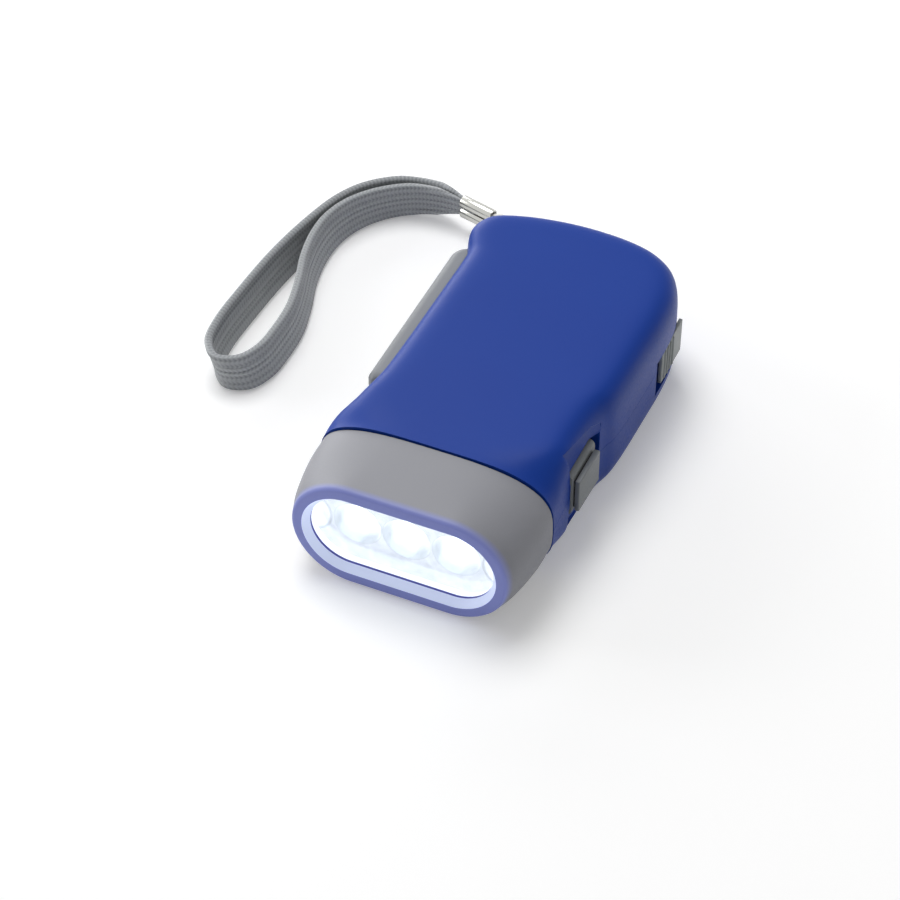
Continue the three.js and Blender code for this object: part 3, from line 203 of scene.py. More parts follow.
@dataclass(frozen=True)
class MouldedPlastic(Finish):
    """Injection-moulded plastic: an even colour that drifts a little, with the mould's fine eroded grain.

    The grain is a tenth of a millimetre on the real part, too fine to show, so it is drawn coarser.
    """

    colour: str
    deep_colour: str
    roughness: float
    ior: float = 1.54
    drift_mm: float = 24.0
    grain_mm: float = 0.55
    grain_detail: float = 3.0
    grain_depth_mm: float = 0.012
    roughness_swing: float = 0.05
    reflection: float = 0.3
    scattered_share: float = 0.0
    # painted light: a lit colour and a glow that stand for the lamps' light, from lit_front_mm back to
    # lit_rear_mm
    lit_colour: str = ""
    glow: float = 0.0
    lit_front_mm: float = 0.0
    lit_rear_mm: float = 0.0

    def lit(self, tree: Tree, where: Socket, colour: Socket) -> dict[str, object]:
        """The painted light that stands for lamp light leaking through: a lit colour and a glow, full at the
        lamp's front, none further back.

        Args:
            tree: the material's tree.
            where: the place on the piece.
            colour: the plastic's own colour.

        Returns:
            The shader's colour and glow.
        """
        depth = add_node(tree, "ShaderNodeSeparateXYZ", {"Vector": where}).outputs["Y"]
        ends = tuple(TORCH.placed(0, y, 0).y for y in (self.lit_front_mm, self.lit_rear_mm))
        spans = two_spans(ends, (1.0, 0.0))
        share = add_node(tree, "ShaderNodeMapRange", {"Value": depth, **spans}).outputs["Result"]
        glow = {0: share, 1: self.glow}
        mix = {"Factor": share, MIX_A: colour, MIX_B: linear_colour(self.lit_colour)}
        return {
            "Base Color": add_node(tree, "ShaderNodeMix", mix, data_type="RGBA").outputs[MIX_OUT],
            "Emission Color": linear_colour(self.lit_colour),
            "Emission Strength": add_node(tree, "ShaderNodeMath", glow, operation="MULTIPLY").outputs[0],
        }

    def shader(self, tree: Tree, where: Socket) -> Socket:
        """Adds the plastic's drift, its grain and, near the lamps, its painted light.

        Args:
            tree: the material's tree.
            where: the place on the piece.

        Returns:
            The shader's socket.
        """
        clouds = {"Vector": where, "Scale": per_metre(self.drift_mm)}
        drift = add_node(tree, "ShaderNodeTexNoise", clouds).outputs[0]
        spots = {"Vector": where, "Scale": per_metre(self.grain_mm), "Detail": self.grain_detail}
        grain = add_node(tree, "ShaderNodeTexNoise", spots).outputs[0]
        mix = {"Factor": drift, **two_colours(self.deep_colour, self.colour)}
        colour = add_node(tree, "ShaderNodeMix", mix, data_type="RGBA").outputs[MIX_OUT]
        swing = two_spans(NOISE_SPAN, spread(self.roughness, 2 * self.roughness_swing))
        rough = add_node(tree, "ShaderNodeMapRange", {"Value": grain, **swing})
        bump = add_node(tree, "ShaderNodeBump", {"Height": grain, "Distance": self.grain_depth_mm * MM})
        inputs = {
            "Base Color": colour,
            "Roughness": rough.outputs["Result"],
            "Normal": bump.outputs["Normal"],
            "IOR": self.ior,
            "Specular IOR Level": self.reflection,
        }
        if self.scattered_share:
            inputs |= {"Subsurface Weight": self.scattered_share, "Subsurface Radius": (MM, MM, MM)}
        if self.lit_colour:
            inputs |= self.lit(tree, where, colour)
        return add_node(tree, "ShaderNodeBsdfPrincipled", inputs).outputs["BSDF"]


@dataclass(frozen=True)
class Metal(Finish):
    """Metal with the fine lines of its making, such as drawing or turning, along one axis of the part."""

    colour: str
    roughness: float
    line_mm: float = 0.25
    line_detail: float = 3.0
    line_depth_mm: float = 0.004
    line_stretch: tuple[float, float, float] = (1.0, 1.0, 0.06)
    roughness_shares: tuple[float, float] = (0.8, 1.3)

    def shader(self, tree: Tree, where: Socket) -> Socket:
        """Adds the metal's lines, which shine unevenly.

        Args:
            tree: the material's tree.
            where: the place on the piece.

        Returns:
            The shader's socket.
        """
        along = add_node(tree, "ShaderNodeMapping", {"Vector": where, "Scale": self.line_stretch})
        inputs = {
            "Vector": along.outputs["Vector"],
            "Scale": per_metre(self.line_mm),
            "Detail": self.line_detail,
        }
        lines = add_node(tree, "ShaderNodeTexNoise", inputs).outputs[0]
        least, most = self.roughness_shares
        swing = two_spans(NOISE_SPAN, (self.roughness * least, self.roughness * most))
        rough = add_node(tree, "ShaderNodeMapRange", {"Value": lines, **swing})
        bump = add_node(tree, "ShaderNodeBump", {"Height": lines, "Distance": self.line_depth_mm * MM})
        inputs = {
            "Base Color": linear_colour(self.colour),
            "Metallic": 1.0,
            "Roughness": rough.outputs["Result"],
            "Normal": bump.outputs["Normal"],
        }
        return add_node(tree, "ShaderNodeBsdfPrincipled", inputs).outputs["BSDF"]


@dataclass(frozen=True)
class MetallisedPlastic(Finish):
    """Vacuum-metallised reflector: a bright mirror with soft ripples, and a painted glow for the lamps'
    light in its cups.

    The painted glow is full in the cups, least on their rims, which show as thin grey lines, and duller on
    the face between them.
    """

    colour: str
    roughness: float
    glow_colour: str
    glow: float
    pitch_mm: float = TORCH.cup_pitch
    rim_mm: float = TORCH.cup_radius
    rim_width_mm: float = 0.5
    face_share: float = 0.8
    rim_share: float = 0.52
    ripple_mm: float = 3.0
    ripple_depth_mm: float = 0.08
    glow_shares: tuple[float, float] = (0.85, 1.1)

    def off_axis(self, tree: Tree, where: Socket) -> Socket:
        """How far a place is from the axis of the nearest cup, in millimetres.

        Args:
            tree: the material's tree.
            where: the place on the piece.

        Returns:
            The distance's socket.
        """
        parts = add_node(tree, "ShaderNodeSeparateXYZ", {"Vector": where}).outputs
        half = self.pitch_mm / 2
        offsets = []
        for axis, middle in (("X", -TORCH.middle_x), ("Z", TORCH.mid_height)):
            from_middle = {0: parts[axis], 1: per_metre(1), 2: -middle}
            scaled = add_node(tree, "ShaderNodeMath", from_middle, operation="MULTIPLY_ADD")
            offsets.append(scaled.outputs[0])
        across, up = offsets
        nearest = add_node(tree, "ShaderNodeMath", {0: across, 1: half, 2: -half}, operation="WRAP")
        both = add_node(tree, "ShaderNodeCombineXYZ", {"X": nearest.outputs[0], "Y": up})
        length = add_node(tree, "ShaderNodeVectorMath", {0: both.outputs[0]}, operation="LENGTH")
        return length.outputs["Value"]

    def brightness(self, tree: Tree, where: Socket) -> Socket:
        """How strong the painted glow is at a place: full in a cup, least on its rim, dull on the face.

        Args:
            tree: the material's tree.
            where: the place on the piece.

        Returns:
            The brightness's socket.
        """
        away = self.off_axis(tree, where)
        half = self.rim_width_mm / 2
        inner_rim = spread(self.rim_mm - self.rim_width_mm, self.rim_width_mm)
        inner = two_spans(inner_rim, (1.0, self.rim_share))
        outer = two_spans((self.rim_mm, self.rim_mm + half), (0.0, self.face_share - self.rim_share))
        both = {
            i: add_node(tree, "ShaderNodeMapRange", {"Value": away, **spans}).outputs["Result"]
            for i, spans in enumerate((inner, outer))
        }
        return add_node(tree, "ShaderNodeMath", both, operation="ADD").outputs[0]

    def shader(self, tree: Tree, where: Socket) -> Socket:
        """Adds the mirror with its ripples and its painted glow.

        Args:
            tree: the material's tree.
            where: the place on the piece.

        Returns:
            The shader's socket.
        """
        waves = {"Vector": where, "Scale": per_metre(self.ripple_mm)}
        ripples = add_node(tree, "ShaderNodeTexNoise", waves).outputs[0]
        least, most = self.glow_shares
        swing = two_spans(NOISE_CORE, (self.glow * least, self.glow * most))
        uneven = add_node(tree, "ShaderNodeMapRange", {"Value": ripples, **swing}).outputs["Result"]
        lit = {0: self.brightness(tree, where), 1: uneven}
        bump = add_node(tree, "ShaderNodeBump", {"Height": ripples, "Distance": self.ripple_depth_mm * MM})
        inputs = {
            "Base Color": linear_colour(self.colour),
            "Metallic": 1.0,
            "Roughness": self.roughness,
            "Emission Color": linear_colour(self.glow_colour),
            "Emission Strength": add_node(tree, "ShaderNodeMath", lit, operation="MULTIPLY").outputs[0],
            "Normal": bump.outputs["Normal"],
        }
        return add_node(tree, "ShaderNodeBsdfPrincipled", inputs).outputs["BSDF"]


@dataclass(frozen=True)
class ClearPlastic(Finish):
    """Clear polystyrene window: see-through with a glossy face, and a painted glow in streaks for a little
    light caught in it.
    """

    colour: str
    gloss_share: float
    glow_colour: str
    glow: float
    roughness: float = 0.06
    ior: float = 1.58
    streak_mm: float = 9.0
    least_glow_share: float = 0.6

    def shader(self, tree: Tree, where: Socket) -> Socket:
        """Adds the clear body, its glossy face and its painted glow.

        Args:
            tree: the material's tree.
            where: the place on the piece.

        Returns:
            The shader's socket.
        """
        clouds = {"Vector": where, "Scale": per_metre(self.streak_mm)}
        streaks = add_node(tree, "ShaderNodeTexNoise", clouds).outputs[0]
        swing = two_spans(NOISE_CORE, (self.glow * self.least_glow_share, self.glow))
        caught = add_node(tree, "ShaderNodeMapRange", {"Value": streaks, **swing})
        inputs = {
            "Base Color": linear_colour(self.colour),
            "Roughness": self.roughness,
            "IOR": self.ior,
            "Emission Color": linear_colour(self.glow_colour),
            "Emission Strength": caught.outputs["Result"],
        }
        face = add_node(tree, "ShaderNodeBsdfPrincipled", inputs).outputs["BSDF"]
        clear = add_node(tree, "ShaderNodeBsdfTransparent", {"Color": linear_colour(self.colour)})
        both = {"Fac": self.gloss_share, 1: clear.outputs["BSDF"], 2: face}
        return add_node(tree, "ShaderNodeMixShader", both).outputs["Shader"]


@dataclass(frozen=True)
class LitResin(Finish):
    """Clear epoxy of a lit white LED: it shines, a little unevenly."""

    colour: str
    glow: float
    roughness: float = 0.12
    ior: float = 1.54
    mottle_mm: float = 1.6
    least_glow_share: float = 0.75

    def shader(self, tree: Tree, where: Socket) -> Socket:
        """Adds the glowing resin.

        Args:
            tree: the material's tree.
            where: the place on the piece.

        Returns:
            The shader's socket.
        """
        clouds = {"Vector": where, "Scale": per_metre(self.mottle_mm)}
        mottle = add_node(tree, "ShaderNodeTexNoise", clouds).outputs[0]
        swing = two_spans(NOISE_SPAN, (self.glow * self.least_glow_share, self.glow))
        shine = add_node(tree, "ShaderNodeMapRange", {"Value": mottle, **swing})
        inputs = {
            "Base Color": linear_colour(self.colour),
            "Roughness": self.roughness,
            "IOR": self.ior,
            "Emission Color": linear_colour(self.colour),
            "Emission Strength": shine.outputs["Result"],
        }
        return add_node(tree, "ShaderNodeBsdfPrincipled", inputs).outputs["BSDF"]


@dataclass(frozen=True)
class WoundWire(Finish):
    """Enamelled copper wire wound in layers: glossy turns side by side."""

    colour: str
    wire_mm: float = 0.3
    unevenness: float = 0.4
    roughness: float = 0.28
    enamel: float = 0.6

    def shader(self, tree: Tree, where: Socket) -> Socket:
        """Adds the wire's turns.

        Args:
            tree: the material's tree.
            where: the place on the piece.

        Returns:
            The shader's socket.
        """
        inputs = {
            "Vector": where,
            "Scale": per_metre(self.wire_mm) / math.tau,
            "Distortion": self.unevenness,
        }
        turns = add_node(tree, "ShaderNodeTexWave", inputs, bands_direction="Z").outputs["Fac"]
        bump = add_node(tree, "ShaderNodeBump", {"Height": turns, "Distance": self.wire_mm * MM / 2})
        inputs = {
            "Base Color": linear_colour(self.colour),
            "Metallic": 1.0,
            "Roughness": self.roughness,
            "Coat Weight": self.enamel,
            "Normal": bump.outputs["Normal"],
        }
        return add_node(tree, "ShaderNodeBsdfPrincipled", inputs).outputs["BSDF"]


@dataclass(frozen=True)
class BoardResin(Finish):
    """Glass-epoxy circuit board under green solder mask: squares of copper show paler through the mask."""

    mask: str
    copper: str
    roughness: float = 0.35
    ior: float = 1.5
    track_mm: float = 1.1
    edge_span: tuple[float, float] = (0.32, 0.36)
    copper_depth_mm: float = 0.03

    def shader(self, tree: Tree, where: Socket) -> Socket:
        """Adds the mask over its squares of copper.

        Args:
            tree: the material's tree.
            where: the place on the piece.

        Returns:
            The shader's socket.
        """
        squares = {"Vector": where, "Scale": per_metre(2 * self.track_mm)}
        tracks = add_node(tree, "ShaderNodeTexVoronoi", squares, distance="CHEBYCHEV").outputs["Distance"]
        spans = two_spans(self.edge_span)
        share = add_node(tree, "ShaderNodeMapRange", {"Value": tracks, **spans}).outputs["Result"]
        mix = {"Factor": share, **two_colours(self.mask, self.copper)}
        bump = add_node(tree, "ShaderNodeBump", {"Height": tracks, "Distance": self.copper_depth_mm * MM})
        inputs = {
            "Base Color": add_node(tree, "ShaderNodeMix", mix, data_type="RGBA").outputs[MIX_OUT],
            "Roughness": self.roughness,
            "IOR": self.ior,
            "Normal": bump.outputs["Normal"],
        }
        return add_node(tree, "ShaderNodeBsdfPrincipled", inputs).outputs["BSDF"]


@dataclass(frozen=True)
class KnitTape(Finish):
    """Knitted polyester tape: slanting stitches in ribs along the tape, matt, with painted shade between
    them.

    Its mesh carries metres along the tape as U and metres across as V.
    """

    yarn: str
    shadow: str
    roughness: float = 0.92
    ior: float = 1.5
    stitch_mm: float = 0.5
    rib_mm: float = 0.8
    slant: float = 1.0
    rib_share: float = 1.3
    fuzz_mm: float = 0.35
    fuzz_detail: float = 4.0
    fuzz_share: float = 0.5
    shade_span: tuple[float, float] = (-0.25, 1.8)
    stitch_depth_mm: float = 0.11
    relief_share: float = 0.8
    sheen: float = 0.25
    sheen_roughness: float = 0.5

    def height(self, tree: Tree, where: Socket) -> Socket:
        """How high the yarn stands: ribs along the tape, slanting stitches on them, and fuzz.

        Args:
            tree: the material's tree.
            where: the place on the piece.

        Returns:
            The height's socket.
        """
        flat = add_node(tree, "ShaderNodeUVMap").outputs["UV"]
        parts = add_node(tree, "ShaderNodeSeparateXYZ", {"Vector": flat}).outputs
        counts = []
        for axis, size in (("X", self.stitch_mm), ("Y", self.rib_mm)):
            pitches = {0: parts[axis], 1: per_metre(size)}
            counts.append(add_node(tree, "ShaderNodeMath", pitches, operation="MULTIPLY").outputs[0])
        along, across = counts
        rib = add_node(tree, "ShaderNodeMath", {0: across, 1: 1.0}, operation="PINGPONG").outputs[0]
        slanted = {0: rib, 1: self.slant, 2: along}
        shifted = add_node(tree, "ShaderNodeMath", slanted, operation="MULTIPLY_ADD").outputs[0]
        stitch = add_node(tree, "ShaderNodeMath", {0: shifted, 1: 1.0}, operation="PINGPONG").outputs[0]
        ribbed = {0: rib, 1: self.rib_share, 2: stitch}
        knit = add_node(tree, "ShaderNodeMath", ribbed, operation="MULTIPLY_ADD").outputs[0]
        spots = {"Vector": where, "Scale": per_metre(self.fuzz_mm), "Detail": self.fuzz_detail}
        fuzz = add_node(tree, "ShaderNodeTexNoise", spots).outputs[0]
        fuzzed = {0: fuzz, 1: self.fuzz_share, 2: knit}
        return add_node(tree, "ShaderNodeMath", fuzzed, operation="MULTIPLY_ADD").outputs[0]

    def shader(self, tree: Tree, where: Socket) -> Socket:
        """Adds the knit with its painted shade.

        Args:
            tree: the material's tree.
            where: the place on the piece.

        Returns:
            The shader's socket.
        """
        height = self.height(tree, where)
        spans = two_spans(self.shade_span)
        share = add_node(tree, "ShaderNodeMapRange", {"Value": height, **spans}).outputs["Result"]
        mix = {"Factor": share, **two_colours(self.shadow, self.yarn)}
        relief = {"Height": height, "Distance": self.stitch_depth_mm * MM, "Strength": self.relief_share}
        bump = add_node(tree, "ShaderNodeBump", relief)
        inputs = {
            "Base Color": add_node(tree, "ShaderNodeMix", mix, data_type="RGBA").outputs[MIX_OUT],
            "Roughness": self.roughness,
            "IOR": self.ior,
            "Sheen Weight": self.sheen,
            "Sheen Roughness": self.sheen_roughness,
            "Normal": bump.outputs["Normal"],
        }
        return add_node(tree, "ShaderNodeBsdfPrincipled", inputs).outputs["BSDF"]


def seen_directly(tree: Tree) -> Socket:
    """1 for rays from the camera and from gloss and glass, otherwise 0.

    Args:
        tree: the tree that the nodes go into.

    Returns:
        The socket that says so.
    """
    path = add_node(tree, "ShaderNodeLightPath").outputs
    seen = path["Is Camera Ray"]
    for ray in ("Is Glossy Ray", "Is Transmission Ray"):
        seen = add_node(tree, "ShaderNodeMath", {0: seen, 1: path[ray]}, operation="MAXIMUM").outputs[0]
    return seen


@dataclass(frozen=True)
class PaintedBoard(Finish):
    """White painted board, rolled matt: an even white that keeps shadows.

    Where it is seen directly it is lifted to white, and more so further off, where less light falls.
    """

    colour: str
    deep_colour: str
    roughness: float = 0.5
    drift_mm: float = 60.0
    lift: float = 0.26
    reach_mm: tuple[float, float] = (160.0, 900.0)

    def shader(self, tree: Tree, where: Socket) -> Socket:
        """Adds the paint and its lift.

        Args:
            tree: the material's tree.
            where: the place on the piece.

        Returns:
            The shader's socket.
        """
        clouds = {"Vector": where, "Scale": per_metre(self.drift_mm)}
        drift = add_node(tree, "ShaderNodeTexNoise", clouds).outputs[0]
        mix = {"Factor": drift, **two_colours(self.colour, self.deep_colour)}
        paint = add_node(tree, "ShaderNodeMix", mix, data_type="RGBA").outputs[MIX_OUT]
        matt = add_node(tree, "ShaderNodeBsdfDiffuse", {"Color": paint, "Roughness": self.roughness})
        away = add_node(tree, "ShaderNodeVectorMath", {0: where}, operation="LENGTH").outputs["Value"]
        spans = two_spans(tuple(at * MM for at in self.reach_mm), (self.lift, 1.0))
        lifted = add_node(tree, "ShaderNodeMapRange", {"Value": away, **spans}).outputs["Result"]
        seen = {0: seen_directly(tree), 1: lifted}
        strength = add_node(tree, "ShaderNodeMath", seen, operation="MULTIPLY").outputs[0]
        glow = {"Color": linear_colour(self.colour), "Strength": strength}
        both = {0: matt.outputs["BSDF"], 1: add_node(tree, "ShaderNodeEmission", glow).outputs["Emission"]}
        return add_node(tree, "ShaderNodeAddShader", both).outputs["Shader"]


class Finishes(Enum):
    """The finishes of the torch, each with what it gives the eye in its own class."""

    # ABS, satin: the deep blue of the case, with a soft sheen
    BLUE_CASE = MouldedPlastic(
        "moulded_abs_blue", "0c3890", "0a348b", 0.4, grain_depth_mm=0.003, reflection=0.13
    )
    # ABS, eroded matt: the lamp's grey housing, with a painted violet glow on its thin front edge for the
    # lamps' light
    GREY_BEZEL = MouldedPlastic(
        "moulded_abs_grey_bezel",
        "8b8c92",
        "86878d",
        0.5,
        lit_colour="747cb8",
        glow=0.2,
        lit_front_mm=0.15,
        lit_rear_mm=2.2,
    )
    # the same ABS on the opening's sloping edge, with painted light: a pale colour and a painted glow for
    # the lamps' light on it
    LIT_BEVEL = MouldedPlastic(
        "moulded_abs_grey_bevel_lit",
        "c3cbe4",
        "bdc6e1",
        0.45,
        lit_colour="c6cfea",
        glow=0.4,
        lit_front_mm=2.0,
        lit_rear_mm=3.0,
    )
    # the same ABS behind the opening, with painted light: a pale colour and a strong painted glow for the
    # lamps' light that floods it
    LIT_CAVITY = MouldedPlastic(
        "moulded_abs_grey_cavity_lit",
        "cdd1da",
        "c6cad4",
        0.45,
        lit_colour="e6e8ec",
        glow=0.68,
        lit_front_mm=12.0,
        lit_rear_mm=13.0,
    )
    # the same ABS in the narrow seat before the window: painted shade in dark violet, with a faint painted
    # glow
    PAINTED_SHADE_SEAT = MouldedPlastic(
        "moulded_abs_grey_seat_painted_shade",
        "4c4e9c",
        "5456a2",
        0.5,
        lit_colour="4c4e9c",
        glow=0.05,
        lit_front_mm=2.0,
        lit_rear_mm=3.0,
    )
    # ABS, eroded matt: the lever's grey grip
    GREY_LEVER = MouldedPlastic("moulded_abs_grey_lever", "7d8084", "787b7f", 0.5)
    # ABS, matt dark grey: the switch
    GREY_SWITCH = MouldedPlastic("moulded_abs_grey_switch", "787c7e", "727678", 0.45)
    # the same ABS, a shade lighter, on the lock's ribbed slide
    GREY_LOCK = MouldedPlastic("moulded_abs_grey_lock", "8d9292", "878c8c", 0.45)
    # the same ABS, painted near black as shade in the narrow gap under the switch's cap, where next to no
    # light falls
    PAINTED_SHADE_GAP = MouldedPlastic("painted_shade_switch_gap", "141516", "101112", 0.7)
    # polystyrene: the clear window, with a faint painted glow
    CLEAR_WINDOW = ClearPlastic("moulded_polystyrene_clear", "fafcff", 0.12, "dfe6ff", 0.3)
    # aluminium on ABS: the mirror cups round the lamps, with a painted glow for their light
    MIRROR_CUPS = MetallisedPlastic("metallised_abs_mirror", "8f989f", 0.2, "f4f5f4", 1.05)
    # epoxy: the lit LEDs
    LIT_LED = LitResin("epoxy_led_lit", "f8faff", 1.6)
    # bright nickel on brass: the strap's crimp
    NICKEL_CRIMP = Metal("pressed_nickel_bright", "c6c6c1", 0.16)
    # zinc-plated steel: screws, pins, springs
    ZINC_STEEL = Metal("turned_steel_zinc", "b4b7ba", 0.32)
    # zinc-plated steel sheet, stamped and duller: the generator's claw plates and flywheel
    STAMPED_STEEL = Metal("stamped_steel_zinc", "8f9294", 0.38)
    # nickel-plated steel: the cans of the coin cells
    CELL_CAN = Metal("drawn_nickel_can", "c6c8c8", 0.22)
    # copper winding
    COPPER_COIL = WoundWire("wound_copper_enamelled", "b0602f")
    # sintered ferrite: the magnet
    FERRITE = MouldedPlastic("sintered_ferrite", "3c3c40", "333336", 0.6, grain_depth_mm=0.03)
    # acetal, cut and moulded: gears and rack
    ACETAL = MouldedPlastic(
        "moulded_acetal_natural", "e4e2d8", "dcd9cd", 0.4, ior=1.48, scattered_share=0.15
    )
    # nylon: the slide switch's housing
    BLACK_NYLON = MouldedPlastic("moulded_nylon_black", "1e1f21", "19191b", 0.45)
    # glass epoxy: the boards
    GREEN_BOARD = BoardResin("laminated_glass_epoxy_green", "1f5c36", "3c8552")
    # polyester, knitted: the strap
    GREY_TAPE = KnitTape("knitted_polyester_grey", "aeb1b4", "6c7073")
    # nylon, twisted: the string between the case and the crimp
    WHITE_STRING = MouldedPlastic(
        "twisted_nylon_white", "e9e8e3", "cfcec8", 0.8, grain_mm=0.5, grain_depth_mm=0.12, drift_mm=1.5
    )
    # painted board: the floor under the torch
    WHITE_BOARD = PaintedBoard("painted_board_white", "f6f6f6", "f4f4f4")


MATERIALS: dict[Finishes, bpy.types.Material] = {}


def finish_of(choice: Finishes) -> bpy.types.Material:
    """The material of a finish, made once."""
    if choice not in MATERIALS:
        MATERIALS[choice] = choice.value.material()
    return MATERIALS[choice]


def dress_piece(piece: bpy.types.Object, choice: Finishes) -> None:
    """Gives a piece its finish in all its material slots.

    Args:
        piece: the piece.
        choice: its finish.
    """
    if not piece.data.materials:
        piece.data.materials.append(finish_of(choice))
    for slot in piece.material_slots:
        slot.material = finish_of(choice)


# Mesh code

ROUND_SIDES = 48
TINY = 1e-9
QUARTER_TURN = 90.0
ROUNDED_DEGREES = 40.0
SHADED_DEGREES = 32.0


class Change(Enum):
    """What other solids do to a solid."""

    JOIN = "UNION"
    CUT = "DIFFERENCE"
    KEEP_COMMON = "INTERSECT"


class Timing(Enum):
    """How a curve is timed between its points: by which power of their distances."""

    EVEN = 0.0
    CENTRIPETAL = 0.5


def towards(degrees: float) -> Vector:
    """The direction in plan at an angle clockwise from +Y."""
    return Vector((math.sin(math.radians(degrees)), math.cos(math.radians(degrees))))


def mesh_piece(name: str, points: list[Vector], faces: list[tuple[int, ...]]) -> bpy.types.Object:
    """Makes an object from points of the drawing.

    Args:
        name: the piece's name.
        points: its points in millimetres.
        faces: the point numbers of each face.

    Returns:
        The object, its faces turned outwards.
    """
    mesh = bpy.data.meshes.new(name)
    mesh.from_pydata([TORCH.placed(*point) for point in points], [], faces)
    made = bmesh.new()
    made.from_mesh(mesh)
    bmesh.ops.recalc_face_normals(made, faces=made.faces)
    made.to_mesh(mesh)
    made.free()
    piece = bpy.data.objects.new(name, mesh)
    bpy.context.scene.collection.objects.link(piece)
    return piece


def loft(name: str, rings: list[list[Vector]], looped: bool = False) -> bpy.types.Object:
    """Makes a skin over rings of points.

    Args:
        name: the piece's name.
        rings: closed rings with as many points each.
        looped: whether the last ring joins the first; otherwise both ends are closed.

    Returns:
        The object.
    """
    count = len(rings[0])
    faces = []
    for k in range(len(rings) if looped else len(rings) - 1):
        here, there = k * count, (k + 1) % len(rings) * count
        for i in range(count):
            after = (i + 1) % count
            faces.append((here + i, here + after, there + after, there + i))
    if not looped:
        last = (len(rings) - 1) * count
        faces += [tuple(range(count)), tuple(last + i for i in range(count))]
    return mesh_piece(name, [point for ring in rings for point in ring], faces)


def prism(name: str, outline: list[Vector], low: float, high: float) -> bpy.types.Object:
    """Makes an upright prism over a plan outline."""
    return loft(name, [[Vector((p.x, p.y, z)) for p in outline] for z in (low, high)])


def block(name: str, xs: tuple, ys: tuple, zs: tuple) -> bpy.types.Object:
    """Makes a block between two limits along each axis."""
    corners = [Vector((xs[i], ys[j])) for i, j in ((0, 0), (1, 0), (1, 1), (0, 1))]
    return prism(name, corners, *zs)


def round_points(middle: Vector, radius: float, count: int) -> list[Vector]:
    """Points round a circle in plan."""
    angles = [2 * math.pi * i / count for i in range(count)]
    return [middle + radius * Vector((math.cos(a), math.sin(a))) for a in angles]


def post(name: str, middle: Vector, radius: float, low: float, high: float) -> bpy.types.Object:
    """Makes an upright cylinder."""
    return prism(name, round_points(middle, radius, ROUND_SIDES), low, high)


def fix_modifiers(piece: bpy.types.Object) -> None:
    """Turns a piece's modifiers into its mesh.

    Args:
        piece: the piece.
    """
    graph = bpy.context.evaluated_depsgraph_get()
    mesh = bpy.data.meshes.new_from_object(piece.evaluated_get(graph))
    plain = piece.data
    piece.modifiers.clear()
    piece.data = mesh
    mesh.name = plain.name
    bpy.data.meshes.remove(plain)


def combine(piece: bpy.types.Object, others: list[bpy.types.Object], change: Change) -> None:
    """Joins, cuts or keeps what is common of solids, then removes the other ones.

    Args:
        piece: the solid that changes.
        others: the solids that it is joined with or cut by.
        change: what they do to it.
    """
    for other in others:
        boolean = piece.modifiers.new(other.name, "BOOLEAN")
        boolean.object = other
        boolean.operation = change.value
        boolean.solver = "EXACT"
    fix_modifiers(piece)
    for other in others:
        bpy.data.objects.remove(other)


def soften(
    piece: bpy.types.Object, width: float, segments: int = 2, degrees: float = ROUNDED_DEGREES
) -> None:
    """Rounds a piece's sharp edges.

    Args:
        piece: the piece.
        width: the rounding's width in millimetres.
        segments: how many faces it has.
        degrees: the least angle of an edge that is rounded.
    """
    bevel = piece.modifiers.new("rounding", "BEVEL")
    bevel.width = width * MM
    bevel.segments = segments
    bevel.limit_method = "ANGLE"
    bevel.angle_limit = math.radians(degrees)
    fix_modifiers(piece)


def smooth(piece: bpy.types.Object, degrees: float = SHADED_DEGREES, large_faces: bool = False) -> None:
    """Shades a piece smooth, apart from edges sharper than an angle.

    Args:
        piece: the piece.
        degrees: the least angle of an edge that stays sharp.
        large_faces: whether large faces keep their own direction up to the narrow roundings beside them.
    """
    piece.data.shade_smooth()
    piece.data.set_sharp_from_angle(angle=math.radians(degrees))
    if large_faces:
        weighted = piece.modifiers.new("large_faces", "WEIGHTED_NORMAL")
        weighted.keep_sharp = True
        fix_modifiers(piece)


def set_piece(piece: bpy.types.Object, choice: Finishes | None, body: str, slot: str, *nodes: str) -> None:
    """Dresses a piece unless it is dressed, makes it ride on a body and stand for its CAD nodes.

    Args:
        piece: the piece.
        choice: its finish, or None where it is dressed already.
        body: the body that it rides on.
        slot: the name of its finish in the part; not used.
        nodes: the CAD nodes that it stands for.
    """
    if choice:
        dress_piece(piece, choice)
    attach(piece, body)
    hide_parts(*nodes)
    LOG.info("%s rides on the %s and stands for %s", piece.name, body, ", ".join(nodes))


# Curves


def catmull_rom(points: list[Vector], steps: int, timing: Timing) -> list[Vector]:
    """Points along a curve through others.

    Args:
        points: what the curve goes through.
        steps: how many points it gets per span.
        timing: how it is timed between them.

    Returns:
        The curve's points, the last of the given ones included.
    """
    ends = [2 * points[0] - points[1], *points, 2 * points[-1] - points[-2]]
    if timing is Timing.EVEN:
        ends = [points[0], *points, points[-1]]
    made = []
    for before, start, end, after in zip(ends, ends[1:], ends[2:], ends[3:]):
        pairs = ((before, start), (start, end), (end, after))
        spans = [max((b - a).length ** timing.value, TINY) for a, b in pairs]
        if timing is Timing.EVEN:
            leaving, arriving = (end - before) / 2, (after - start) / 2
        else:
            first, middle, last = spans
            leaving = (start - before) / first - (end - before) / (first + middle) + (end - start) / middle
            arriving = (end - start) / middle - (after - start) / (middle + last) + (after - end) / last
            leaving, arriving = leaving * middle, arriving * middle
        for i in range(steps):
            t = i / steps
            made.append(
                (2 * t**3 - 3 * t**2 + 1) * start
                + (t**3 - 2 * t**2 + t) * leaving
                + (3 * t**2 - 2 * t**3) * end
                + (t**3 - t**2) * arriving
            )
    return [*made, points[-1].copy()]


